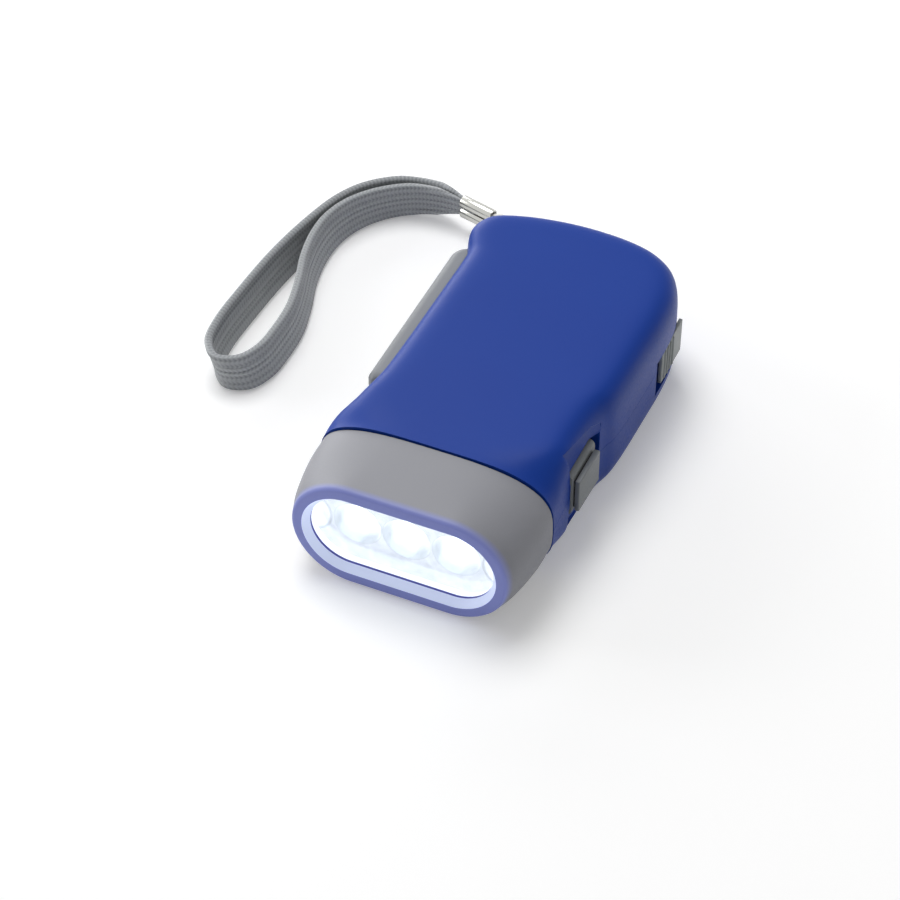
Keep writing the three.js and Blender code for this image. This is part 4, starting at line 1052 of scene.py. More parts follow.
def evenly_spaced(points: list[Vector], count: int) -> list[Vector]:
    """The same line with points at even distances.

    Args:
        points: the line's points.
        count: how many steps it gets.

    Returns:
        The new points, both ends included.
    """
    lengths = [0.0]
    for a, b in zip(points, points[1:]):
        lengths.append(lengths[-1] + (b - a).length)
    made, at = [], 0
    for i in range(count + 1):
        wanted = lengths[-1] * i / count
        while at < len(points) - 2 and lengths[at + 1] < wanted:
            at += 1
        share = (wanted - lengths[at]) / (lengths[at + 1] - lengths[at])
        made.append(points[at].lerp(points[at + 1], min(share, 1.0)))
    return made


def smoothstep(value: float, low: float, high: float) -> float:
    """An eased share of the way from low to high."""
    t = min(max((value - low) / (high - low), 0.0), 1.0)
    return t * t * (3 - 2 * t)


# Camera


@dataclass(frozen=True)
class PhotoView:
    """The photograph's view: its angles, and the target, distance and lens that give its frame."""

    azimuth: float = 23.91
    elevation: float = 43.91
    target: tuple[float, float, float] = (-2.68, 33.52, 14.11)
    distance: float = 585.9
    lens: float = 106.3
    sensor: float = 36.0

    def build(self) -> None:
        """Makes the camera and sets it."""
        turn, rise = math.radians(self.azimuth), math.radians(self.elevation)
        level = math.cos(rise)
        back = Vector((math.sin(turn) * level, -math.cos(turn) * level, math.sin(rise)))
        lens = bpy.data.cameras.new("photo_view")
        lens.lens = self.lens
        lens.sensor_width = self.sensor
        camera = bpy.data.objects.new("photo_view", lens)
        camera.location = TORCH.placed(*self.target) + back * (self.distance * MM)
        camera.rotation_mode = "QUATERNION"
        camera.rotation_quaternion = (-back).to_track_quat("-Z", "Y")
        bpy.context.scene.collection.objects.link(camera)
        bpy.context.scene.camera = camera


# Strap


@dataclass
class Strap:
    """The wrist strap: a string round the pin in the case, a crimp, and a loop of knitted tape on edge."""

    crimp_start: tuple = (-28.8, 118.6, 7.3)
    crimp_end: tuple = (-37.8, 121.0, 7.3)
    barrel_radius: float = 1.6
    barrel_offset: float = 1.55
    waist: float = 0.9
    crimp_wall: float = 0.35
    crimp_slit: float = 0.4
    crimp_lip: float = 0.1
    lip_degrees: float = 50.0
    barrel_steps: int = 18
    tape_width: float = 9.6
    tape_thickness: float = 1.8
    squeezed_half: float = 0.42
    squeezed_gap: float = 0.1
    squeezed_start_share: float = 0.6
    lean: float = 1.3
    lean_start_share: float = 0.06
    lean_full_share: float = 0.26
    edge_cord_radius: float = 0.95
    edge_cord_share: float = 1.05
    edge_open_degrees: float = 60.0
    cord_degrees: float = 60.0
    face_share: float = 0.5
    face_ribs: int = 5
    rib_share: float = 0.2
    face_steps: int = 30
    edge_steps: int = 7
    steps_per_point: int = 8
    string_radius: float = 0.55
    string_start_share: float = 0.28
    string_sides: int = 16
    pin_radius: float = 0.9
    running_gap: float = 0.2
    string_turn_steps: int = 4
    eyelet: tuple = (-16.2, 105.2, 13.5)
    tape_route: tuple = (
        (-45, 123.7, 6.3, 4.2),
        (-55, 122.4, 5.3),
        (-62, 116.9),
        (-65.9, 109.6),
        (-68.7, 98),
        (-70.7, 84),
        (-71.5, 69),
        (-71.5, 56),
        (-70, 48.8),
        (-66, 44.8),
        (-61, 46.5),
        (-58.3, 52),
        (-57.8, 60),
        (-58.3, 68),
        (-60.5, 77),
        (-63.4, 86),
        (-65, 95),
        (-64.8, 103),
        (-62.3, 110.4),
        (-57.6, 116.6),
        (-51.6, 120.4, 5.5),
        (-45, 121.4, 6.3, 4.2),
    )
    string_route: tuple = (
        (-26.4, 117.2, 10.8),
        (-23.4, 114.6, 12.2),
        (-20.4, 110.6, 13.2),
        (-18, 106, 13.8),
        (-17.2, 102, 14),
    )
    string_return: tuple = (
        (-13.9, 101.6, 14),
        (-14.9, 105.2, 13.4),
        (-17.8, 109.6, 11.8),
        (-21.2, 113.2, 9.4),
        (-25, 116.2, 6.9),
    )

    def along_crimp(self, share: float, side: float, up: float) -> Vector:
        """A place in the crimp.

        Args:
            share: how far along, from the case end to the strap end.
            side: how far to the side.
            up: how far above the crimp's axis.

        Returns:
            The point in millimetres.
        """
        start, end = Vector(self.crimp_start), Vector(self.crimp_end)
        axis = (end - start).normalized()
        across = Vector((-axis.y, axis.x, 0))
        return start.lerp(end, share) + across * side + Vector((0, 0, up))

    def crimp_outline(self, inset: float) -> list[tuple[float, float]]:
        """Half of the crimp's section, from its slit down to the bottom, drawn in by an inset.

        Args:
            inset: how far it is drawn in.

        Returns:
            Points as (sideways, up).
        """
        radius, waist = self.barrel_radius - inset, self.waist - inset
        turn = math.acos(waist / radius)
        rise = self.barrel_offset
        upper = [(waist, self.crimp_slit / 2)]
        for i in range(self.barrel_steps + 1):
            angle = -turn + (math.pi + 2 * turn) * i / self.barrel_steps
            upper.append((radius * math.cos(angle), rise + radius * math.sin(angle)))
        return upper

    def crimp(self) -> bpy.types.Object:
        """The crimp: one strip bent round both ends into two barrels, with its slit towards the torch.

        Returns:
            The crimp.
        """
        outer, inner = self.crimp_outline(0), self.crimp_outline(self.crimp_wall)
        outline = outer + [(x, -up) for x, up in reversed(outer)]
        back = inner + [(x, -up) for x, up in reversed(inner)]
        section = outline + list(reversed(back))
        shares = (0.0, 1.0)
        rings = [[self.along_crimp(share, side, up) for side, up in section] for share in shares]
        piece = loft("crimp_sleeve", rings)
        soften(piece, self.crimp_lip, degrees=self.lip_degrees)
        smooth(piece)
        return piece

    def tape_section(self, half_height: float, half_thickness: float) -> list[tuple[float, float]]:
        """The tape's section: ribbed faces between two corded edges.

        Args:
            half_height: half the tape's width.
            half_thickness: half its thickness.

        Returns:
            Points as (sideways, up), going round.
        """
        cord = min(self.edge_cord_radius, half_thickness * self.edge_cord_share)
        face_top = half_height - 2 * cord
        right = []
        for i in range(self.face_steps + 1):
            share = 2 * i / self.face_steps - 1
            ripple = abs(math.sin(math.pi * self.face_ribs * (share + 1) / 2))
            side = half_thickness * (self.face_share + self.rib_share * ripple)
            right.append((side, share * face_top))
        edge = []
        opening = math.radians(self.edge_open_degrees)
        for i in range(1, self.edge_steps):
            angle = (math.tau - opening) * i / self.edge_steps - opening
            edge.append((cord * math.cos(angle), half_height - cord + cord * math.sin(angle)))
        left = [(-side, up) for side, up in reversed(right)]
        return right + edge + left + [(-side, -up) for side, up in edge]

    def tape_line(self) -> tuple[list[Vector], list[tuple[float, float]]]:
        """The tape's middle line and its half sizes (height, thickness) at each point of it.

        Returns:
            The line's points, and a height and a thickness for each.
        """
        squeezed_height = self.barrel_offset + (self.barrel_radius - self.crimp_wall) / 2
        squeezed = (squeezed_height, self.squeezed_half)
        side = self.squeezed_half + self.squeezed_gap
        middle_height = self.tape_width / 2 + TORCH.gap
        free, sizes = [], []
        for x, y, *more in self.tape_route:
            free.append(Vector((x, y, more[0] if more else middle_height)))
            half = more[1] if len(more) > 1 else self.tape_width / 2
            sizes.append((half, self.tape_thickness / 2))
        start, end = self.squeezed_start_share, 1.0
        points = [self.along_crimp(start, -side, 0), self.along_crimp(end, -side, 0), *free]
        points += [self.along_crimp(end, side, 0), self.along_crimp(start, side, 0)]
        sizes = [squeezed, squeezed, *sizes, squeezed, squeezed]
        line = catmull_rom(points, self.steps_per_point, Timing.CENTRIPETAL)
        fine = []
        for i in range(len(line)):
            at = min(i // self.steps_per_point, len(sizes) - 2)
            share = i / self.steps_per_point - at
            fine.append(tuple(a + (b - a) * share for a, b in zip(sizes[at], sizes[at + 1])))
        return line, fine

    def tape(self) -> tuple[bpy.types.Object, list[Vector]]:
        """The tape as a mesh with its stitches' directions as UV, and its middle line.

        Returns:
            The tape and its middle line.
        """
        line, sizes = self.tape_line()
        rings, flats, along = [], [], 0.0
        for i, (at, (half_height, half_thickness)) in enumerate(zip(line, sizes)):
            ahead = line[min(i + 1, len(line) - 1)] - line[max(i - 1, 0)]
            along += (at - line[i - 1]).length if i else 0.0
            across = Vector((-ahead.y, ahead.x, 0)).normalized()
            section = self.tape_section(half_height, half_thickness)
            end_share = min(i, len(line) - 1 - i) / (len(line) - 1)
            leaning = smoothstep(end_share, self.lean_start_share, self.lean_full_share)
            upward = Vector((-self.lean * leaning / half_height, 0, 1))
            rings.append([at + across * side + upward * up for side, up in section])
            flats.append([(along * MM, (up + side) * MM) for side, up in section])
        piece = loft("strap_tape", rings)
        layer = piece.data.uv_layers.new(name="tape")
        flat = [uv for ring in flats for uv in ring]
        for loop in piece.data.loops:
            layer.data[loop.index].uv = flat[loop.vertex_index]
        smooth(piece, self.cord_degrees)
        return piece, line

    def string_line(self) -> list[Vector]:
        """The string's route: out of one barrel, round the pin in the case and back into the other.

        Returns:
            The line's points.
        """
        turn = self.pin_radius + self.string_radius + self.running_gap
        x, y = TORCH.strap_pin
        bend = []
        for i in range(self.string_turn_steps + 1):
            angle = math.pi + math.pi * i / self.string_turn_steps
            bend.append(Vector((x + turn * math.cos(angle), y + turn * math.sin(angle), TORCH.mid_height)))
        rise = self.barrel_offset
        points = [self.along_crimp(self.string_start_share, 0, rise), self.along_crimp(0, 0, rise)]
        points += [Vector(place) for place in self.string_route] + bend
        points += [Vector(place) for place in self.string_return]
        points += [self.along_crimp(0, 0, -rise), self.along_crimp(self.string_start_share, 0, -rise)]
        return catmull_rom(points, self.steps_per_point, Timing.CENTRIPETAL)

    def string(self) -> tuple[bpy.types.Object, list[Vector]]:
        """The string as a mesh tube, and its middle line.

        Returns:
            The string and its middle line.
        """
        line = self.string_line()
        rings = []
        normal = Vector((0, 0, 1))
        for i, at in enumerate(line):
            ahead = (line[min(i + 1, len(line) - 1)] - line[max(i - 1, 0)]).normalized()
            normal = (normal - ahead * normal.dot(ahead)).normalized()
            side = ahead.cross(normal)
            angles = [2 * math.pi * k / self.string_sides for k in range(self.string_sides)]
            around = [side * math.cos(a) + normal * math.sin(a) for a in angles]
            rings.append([at + direction * self.string_radius for direction in around])
        piece = loft("strap_string", rings)
        smooth(piece, self.cord_degrees)
        return piece, line

    def build(self) -> None:
        self.crimp_piece = self.crimp()
        self.tape_piece, tape_line = self.tape()
        self.string_piece, string_line = self.string()

    def dress(self) -> None:
        """Gives the strap's pieces their finishes and bodies."""
        set_piece(self.crimp_piece, Finishes.NICKEL_CRIMP, "case", "nickel_crimp", "crimp")
        set_piece(self.tape_piece, Finishes.GREY_TAPE, "case", "grey_webbing", "strap")
        set_piece(self.string_piece, Finishes.WHITE_STRING, "case", "white_cord", "string")


# Case


@dataclass
class Case:
    """The two blue shells, drawn finer than the part's own and cut by the same openings."""

    outline_shares: tuple = (
        (-1, 0),
        (-0.998, 0.03),
        (-0.97, 0.062),
        (-0.92, 0.093),
        (-0.874, 0.128),
        (-0.846, 0.175),
        (-0.812, 0.25),
        (-0.797, 0.4),
        (-0.79, 0.57),
        (-0.784, 0.7),
        (-0.789, 0.775),
        (-0.834, 0.815),
        (-0.875, 0.86),
        (-0.85, 0.903),
        (-0.767, 0.938),
        (-0.602, 0.963),
        (-0.39, 0.983),
        (-0.12, 0.997),
        (0.15, 1),
        (0.45, 0.991),
        (0.72, 0.965),
        (0.93, 0.913),
        (1.05, 0.83),
        (1.085, 0.73),
        (1.08, 0.58),
        (1.07, 0.45),
        (1.05, 0.375),
        (1.008, 0.325),
        (0.982, 0.27),
        (0.972, 0.19),
        (0.98, 0.1),
        (1, 0),
    )
    curve_steps: int = 12
    outline_steps: int = 220
    level_steps: int = 20
    inner_outline_steps: int = 90
    inner_level_steps: int = 9
    level_power: float = 0.45
    spine_x: float = 2.5
    spine_setback: float = 25.2
    front_reach: float = 27.0
    rear_reach: float = 14.0
    blend_length: float = 13.0
    front_squareness: float = 3.1
    rear_squareness: float = 5.2
    top_share: float = 0.985
    ease_share: float = 0.93
    most_draw_share: float = 0.98
    seam: float = 0.07
    edge_round: float = 0.22
    edge_degrees: float = 38.0
    facet_x: float = 26.1
    facet_rim: float = 0.5
    facet_flat: tuple = (1.2, 2.5)
    facet_sections: tuple = ((0, 0, -1.5, 11.7), (0.78, 0, 0.3, 10), (1, 1.6, 1.3, 8.5))
    window_ys: tuple = (30.6, 46.1)
    window_height: float = 12.8
    flange_height: float = 13.8
    flange_inner_x: float = 22.8
    lock_ys: tuple = (75.7, 93.3)
    lock_drop: float = 2.2
    lock_height: float = 9.4
    lock_seat_x: float = 28.6
    stem_ys: tuple = (80.1, 89.1)
    stem_inner_x: float = 22.8
    stem_height: float = 3.0
    slot_xs: tuple = (-27.5, -19.3)
    slot_ys: tuple = (26.6, 93.5)
    slot_height: float = 16.9
    eyelet_width: float = 5.0
    eyelet_height: float = 5.4
    screw_places: tuple = ((0.758, 0.436), (0.56, 0.9), (-0.18, 0.918), (-0.397, 0.178))
    screw_hole_radius: float = 2.8
    screw_hole_depth: float = 2.8
    boss_radius: float = 3.9

    def in_plan(self, share: tuple[float, float]) -> Vector:
        """The place at shares of the joint's half width across and of the case's length back."""
        across, along = share
        length = TORCH.length - TORCH.case_front_y
        return Vector((across * TORCH.joint_half_width, TORCH.case_front_y + along * length))

    def outline(self, steps: int) -> list[Vector]:
        """The case's plan at its middle height, from the joint's left end round the rear."""
        points = [self.in_plan(share) for share in self.outline_shares]
        return evenly_spaced(catmull_rom(points, self.curve_steps, Timing.EVEN), steps)

    def crown_inset(self, share: float, y: float) -> float:
        """How far the skin has drawn in at a share of the half height.

        Args:
            share: the share of the half height.
            y: how far back the place is.

        Returns:
            The distance in millimetres.
        """
        t = smoothstep(y, TORCH.case_front_y, TORCH.case_front_y + self.blend_length)
        reach = self.front_reach + (self.rear_reach - self.front_reach) * t
        power = self.front_squareness + (self.rear_squareness - self.front_squareness) * t
        return reach * (1 - (1 - share**power) ** (1 / power))

    def rise(self, share: float) -> float:
        """The height at a share of the half height: it eases so that the skin ends level on the top."""
        over = 1 / self.top_share - 1
        ease = max(share - self.ease_share, 0.0) / (1 - self.ease_share)
        return share / self.top_share - over * ease**2

    def spine_at(self, y: float) -> float:
        """Where the line that the skin draws in towards is: in the middle at the joint, then to one side."""
        return self.spine_x * smoothstep(y, TORCH.case_front_y, TORCH.case_front_y + self.blend_length)

    def skin(self, name: str, inset: float, steps: int, levels: int, front: float) -> bpy.types.Object:
        """A closed skin of the case.

        Args:
            name: the piece's name.
            inset: how far it is drawn in all round.
            steps: how many steps its plan has.
            levels: how many levels it has above the middle.
            front: how far it runs past the joint towards the lamp.

        Returns:
            The object.
        """
        plan = self.outline(steps)
        if front:
            plan = [plan[0] - Vector((0, front)), *plan, plan[-1] - Vector((0, front))]
        spine_end = TORCH.length - self.spine_setback
        shares = [math.sin(math.pi / 2 * i / levels) ** self.level_power for i in range(levels + 1)]
        signed = [-share for share in reversed(shares[1:])] + shares
        rings = []
        for share in signed:
            height = math.copysign(self.rise(abs(share)), share) * (TORCH.mid_height - inset)
            ring = []
            for point in plan:
                inward = Vector((self.spine_at(point.y), min(point.y, spine_end))) - point
                draw = inset + self.crown_inset(abs(share), point.y)
                at = point + inward.normalized() * min(draw, self.most_draw_share * inward.length)
                ring.append(Vector((at.x, at.y, TORCH.mid_height + height)))
            rings.append(ring)
        return loft(name, rings)

    def facet(self) -> bpy.types.Object:
        """What is cut off round the switch: faces that slope in above and below and turn out to the bulge.

        Each section from front to rear says how far along it is, how far out its face is, and where its
        edge is: how far out and at what half height.

        Returns:
            The solid that is cut off.
        """
        front = self.window_ys[0] - self.facet_rim
        length = self.window_ys[1] + self.facet_rim - front
        far = TORCH.thickness
        flat_rise, flat_half = self.facet_flat
        rings = []
        for share, out, edge_out, edge_half in self.facet_sections:
            upper = [
                (flat_rise + out, flat_half),
                (out, self.flange_height / 2),
                (edge_out, edge_half),
                (far, edge_half + far),
            ]
            points = [(x, -up) for x, up in reversed(upper)] + upper
            y = front + share * length
            rings.append([Vector((self.facet_x + x, y, TORCH.mid_height + up)) for x, up in points])
        return loft("facet_cut", rings)

    def openings(self) -> list[bpy.types.Object]:
        """The cuts for the lever, the switch, the lock and the string.

        Returns:
            The solids that are cut out.
        """
        middle, gap = TORCH.mid_height, TORCH.gap
        return [
            block("lever_slot", self.slot_xs, self.slot_ys, spread(middle, self.slot_height)),
            self.facet(),
            block(
                "switch_window",
                (self.flange_inner_x, FAR),
                self.window_ys,
                spread(middle, self.window_height),
            ),
            block(
                "lock_seat",
                (self.lock_seat_x, FAR),
                self.lock_ys,
                spread(middle - self.lock_drop, self.lock_height + 2 * gap),
            ),
            block(
                "stem_slot",
                (self.stem_inner_x, FAR),
                self.stem_ys,
                spread(middle, self.stem_height + 2 * gap),
            ),
            block(
                "eyelet",
                spread(TORCH.strap_pin[0], self.eyelet_width),
                (TORCH.strap_pin[1], FAR),
                spread(middle, self.eyelet_height),
            ),
        ]

    def shell(self, name: str, source: bpy.types.Object, low: float, high: float) -> bpy.types.Object:
        """The part of a shell between two heights.

        Args:
            name: the piece's name.
            source: the whole case.
            low: where the shell starts.
            high: where it ends.

        Returns:
            The shell.
        """
        piece = source.copy()
        piece.data = source.data.copy()
        piece.name = name
        bpy.context.scene.collection.objects.link(piece)
        combine(piece, [block("keep", (-FAR, FAR), (-FAR, FAR), (low, high))], Change.KEEP_COMMON)
        return piece

    def build(self) -> None:
        """Makes both shells."""
        whole = self.skin("case_skin", 0, self.outline_steps, self.level_steps, 0)
        hollow = self.skin(
            "case_hollow", TORCH.wall, self.inner_outline_steps, self.inner_level_steps, TORCH.overrun
        )
        combine(whole, [hollow, *self.openings()], Change.CUT)
        middle = TORCH.mid_height
        self.lower = self.shell("case_lower", whole, -FAR, middle - self.seam / 2)
        self.upper = self.shell("case_upper", whole, middle + self.seam / 2, FAR)
        bpy.data.objects.remove(whole)
        places = [self.in_plan(share) for share in self.screw_places]
        boss = (self.boss_radius, TORCH.wall / 2, middle - TORCH.gap / 2)
        bosses = [post("boss", at, *boss) for at in places]
        combine(self.lower, bosses, Change.JOIN)
        hole = (self.screw_hole_radius, -TORCH.overrun, self.screw_hole_depth)
        holes = [post("screw_hole", at, *hole) for at in places]
        combine(self.lower, holes, Change.CUT)
        for piece in (self.lower, self.upper):
            soften(piece, self.edge_round, degrees=self.edge_degrees)
            smooth(piece, large_faces=True)

    def dress(self) -> None:
        """Gives the shells their finish and body."""
        set_piece(self.lower, Finishes.BLUE_CASE, "case", "blue_abs", "lower_shell")
        set_piece(self.upper, Finishes.BLUE_CASE, "case", "blue_abs", "upper_shell")


# Lamp


@dataclass
class Lamp:
    """The grey bezel with its window, mirror cups and three lit LEDs."""

    front: tuple = (25.25, 13.8)
    opening: tuple = (22.7, 10.9)
    seat: tuple = (21.4, 9.35)
    bevel_depth: float = 1.7
    lip_depth: float = 2.3
    lip_round: float = 0.9
    cavity: tuple = (23.0, 11.1)
    cavity_end: float = 12.0
    rear_half_height: float = 13.55
    squareness: float = 3.1
    tenon_length: float = 2.2
    tenon_wall: float = 1.4
    tenon_inset: float = 2.8
    round_steps: int = 6
    body_steps: int = 26
    end_steps: int = 40
    straight_steps: int = 24
    blend_shares: tuple = ((0, 0), (0.16, 0.4), (0.45, 0.78), (0.72, 0.98), (1, 1))
    blend_steps: int = 24
    inner_blend_share: float = 0.95
    shaded_degrees: float = 28.0
    window: tuple = (22.6, 10.7)
    window_thickness: float = 1.8
    window_edge: float = 0.15
    cup_depth: float = 8.4
    cup_throat: float = 3.1
    cup_steps: int = 14
    cup_sides: int = 64
    reflector: tuple = (22.2, 10.3)
    reflector_depth: float = 9.6
    led_radius: float = 2.5
    led_length: float = 8.6
    led_flange_radius: float = 2.8
    led_flange_length: float = 1.0
    led_steps: int = 10
    led_sides: int = 40

    @property
    def window_front(self) -> float:
        """How deep the window lies."""
        return self.lip_depth + TORCH.gap

    @property
    def reflector_front(self) -> float:
        """How deep the mirror cups start."""
        return self.window_front + self.window_thickness + TORCH.gap

    def stadium(self, half_width: float, radius: float) -> list[tuple[float, float]]:
        """The points of a stadium, going round from the top of its right end.

        Args:
            half_width: half its whole width.
            radius: the radius of its ends.

        Returns:
            Points as (sideways, up).
        """
        straight = half_width - radius
        points = []
        for side in (1, -1):
            for i in range(self.end_steps + 1):
                angle = side * math.pi / 2 - math.pi * i / self.end_steps
                points.append((side * straight + radius * math.cos(angle), radius * math.sin(angle)))
            for i in range(1, self.straight_steps):
                points.append((side * straight * (1 - 2 * i / self.straight_steps), -side * radius))
        return points

    def ring(
        self,
        depth: float,
        size: tuple[float, float],
        section: tuple[float, float] = (1, 1),
        blend: float = 0.0,
    ) -> list[Vector]:
        """A ring of the lamp end.

        Args:
            depth: how far back it is.
            size: the half width and end radius of its stadium.
            section: the half width and half height of the joint's rounded section.
            blend: how much of that section it has.

        Returns:
            The ring's points.
        """
        points = []
        for x, up in self.stadium(*size):
            direction = math.atan2(up, x)
            across = abs(math.cos(direction) / section[0]) ** self.squareness
            upward = abs(math.sin(direction) / section[1]) ** self.squareness
            reach = (across + upward) ** (-1 / self.squareness)
            to_x, to_up = reach * math.cos(direction), reach * math.sin(direction)
            points.append(
                Vector((x + (to_x - x) * blend, depth, TORCH.mid_height + up + (to_up - up) * blend))
            )
        return points

    def blend_at(self, share: float) -> float:
        """How much of the joint's section the bezel has at a share of its length.

        Args:
            share: the share of the bezel's length.

        Returns:
            The share of the section.
        """
        depths = [Vector(pair) for pair in self.blend_shares]
        line = catmull_rom(depths, self.blend_steps, Timing.CENTRIPETAL)
        for a, b in zip(line, line[1:]):
            if share <= b.x:
                return a.y + (b.y - a.y) * (share - a.x) / max(b.x - a.x, TINY)
        return line[-1].y

    def bezel(self) -> bpy.types.Object:
        """The bezel: a skin that runs back outside, round the tenon and forward inside to the opening.

        Returns:
            The bezel, dressed.
        """
        rear = (TORCH.joint_half_width - TORCH.gap / 2, self.rear_half_height)
        end = TORCH.joint_y
        rings = []
        for i in range(self.round_steps + 1):
            angle = math.pi / 2 * i / self.round_steps
            inset = self.lip_round * (1 - math.sin(angle))
            size = tuple(value - inset for value in self.front)
            rings.append(self.ring(self.lip_round * (1 - math.cos(angle)), size))
        for i in range(1, self.body_steps + 1):
            share = i / self.body_steps
            depth = self.lip_round + share * (end - self.lip_round)
            rings.append(self.ring(depth, self.front, rear, self.blend_at(share)))
        tenon = (TORCH.joint_half_width - self.tenon_inset, self.rear_half_height - TORCH.wall - TORCH.gap)
        tenon_inner = tuple(value - self.tenon_wall for value in tenon)
        inner = tuple(value - TORCH.wall - 2 * TORCH.gap for value in rear)
        for depth, section in (
            (end, tenon),
            (end + self.tenon_length, tenon),
            (end + self.tenon_length, tenon_inner),
            (end - self.tenon_wall, tenon_inner),
        ):
            rings.append(self.ring(depth, self.front, section, 1.0))
        rings.append(self.ring(end - self.tenon_wall, self.cavity, inner, self.inner_blend_share))
        rings.append(self.ring(self.cavity_end, self.cavity))
        rings.append(self.ring(self.lip_depth, self.cavity))
        rings.append(self.ring(self.lip_depth, self.seat))
        rings.append(self.ring(self.bevel_depth, self.seat))
        rings.append(self.ring(0, self.opening))
        piece = loft("lamp_bezel", rings, looped=True)
        self.dress_bezel(piece, len(rings), len(rings[0]))
        smooth(piece, self.shaded_degrees)
        return piece

    def dress_bezel(self, piece: bpy.types.Object, spans: int, count: int) -> None:
        """Gives the bezel its grey outside, and the finishes with painted light and shade round its opening.

        Args:
            piece: the bezel.
            spans: how many spans there are between its rings.
            count: how many faces a span has.
        """
        # painted light round the opening, from the rear: painted glow in the cavity and on its step, painted
        # shade with a faint glow in the seat, painted glow on the bevel
        lit = (Finishes.LIT_CAVITY, Finishes.LIT_CAVITY, Finishes.PAINTED_SHADE_SEAT, Finishes.LIT_BEVEL)
        choices = [Finishes.GREY_BEZEL, *dict.fromkeys(reversed(lit))]
        outside = [Finishes.GREY_BEZEL] * (spans - len(lit) - 1)
        along = [*outside, *lit, Finishes.GREY_BEZEL]
        for choice in choices:
            piece.data.materials.append(finish_of(choice))
        for face in piece.data.polygons:
            face.material_index = choices.index(along[face.index // count])

    def plate(self, name: str, size: tuple[float, float], front: float, rear: float) -> bpy.types.Object:
        """A flat plate with the stadium's outline."""
        return loft(name, [self.ring(front, size), self.ring(rear, size)])

    def turned(
        self, name: str, profile: list[tuple[float, float]], x: float, sides: int
    ) -> bpy.types.Object:
        """A solid turned about an axis along Y.

        Args:
            name: the piece's name.
            profile: points as (radius, depth), none on the axis.
            x: where the axis is.
            sides: how many flats stand for the round.

        Returns:
            The object.
        """
        rings = []
        for radius, depth in profile:
            angles = [2 * math.pi * i / sides for i in range(sides)]
            rings.append(
                [
                    Vector((x + radius * math.cos(a), depth, TORCH.mid_height + radius * math.sin(a)))
                    for a in angles
                ]
            )
        return loft(name, rings)

    def cup(self, x: float) -> bpy.types.Object:
        """What is cut out for one mirror cup: a paraboloid that ends in the LED's hole.

        Args:
            x: where the cup's axis is.

        Returns:
            The solid that is cut out.
        """
        profile = [(TORCH.cup_radius, self.reflector_front - TORCH.overrun)]
        for i in range(self.cup_steps + 1):
            share = i / self.cup_steps
            radius = self.cup_throat + (TORCH.cup_radius - self.cup_throat) * math.sqrt(1 - share)
            profile.append((radius, self.reflector_front + self.cup_depth * share))
        profile.append((self.cup_throat, self.reflector_front + self.reflector_depth + TORCH.overrun))
        return self.turned("cup_cut", profile, x, self.cup_sides)

    def led(self, name: str, x: float) -> bpy.types.Object:
        """One LED: a domed barrel with a flange at its foot.

        Args:
            name: the piece's name.
            x: where the LED's axis is.

        Returns:
            The LED.
        """
        rear = self.reflector_front + self.reflector_depth
        tip = rear - self.led_length
        flange = rear - self.led_flange_length
        profile = []
        for i in range(1, self.led_steps + 1):
            angle = math.pi / 2 * i / self.led_steps
            depth = tip + self.led_radius * (1 - math.cos(angle))
            profile.append((self.led_radius * math.sin(angle), depth))
        profile.append((self.led_radius, flange))
        profile += [(self.led_flange_radius, depth) for depth in (flange, rear)]
        piece = self.turned(name, profile, x, self.led_sides)
        smooth(piece)
        return piece

    def build(self) -> None:
        """Makes the bezel, the window, the mirror cups and the LEDs."""
        self.bezel_piece = self.bezel()
        window_rear = self.window_front + self.window_thickness
        self.window_piece = self.plate("lamp_window", self.window, self.window_front, window_rear)
        soften(self.window_piece, self.window_edge)
        smooth(self.window_piece)
        rear = self.reflector_front + self.reflector_depth
        self.mirror = self.plate("lamp_mirror", self.reflector, self.reflector_front, rear)
        places = (-TORCH.cup_pitch, 0, TORCH.cup_pitch)
        combine(self.mirror, [self.cup(x) for x in places], Change.CUT)
        smooth(self.mirror)
        self.leds = [self.led(f"lamp_led_{i + 1}", x) for i, x in enumerate(places)]

    def dress(self) -> None:
        """Gives the lamp's pieces their finishes and body."""
        set_piece(self.bezel_piece, None, "case", "grey_abs", "bezel")
        set_piece(self.window_piece, Finishes.CLEAR_WINDOW, "case", "clear_lens", "lens")
        set_piece(self.mirror, Finishes.MIRROR_CUPS, "case", "metallised_reflector", "reflector")
        for i, piece in enumerate(self.leds):
            set_piece(piece, Finishes.LIT_LED, "case", "led_epoxy", f"led_{i + 1}")


# Lever


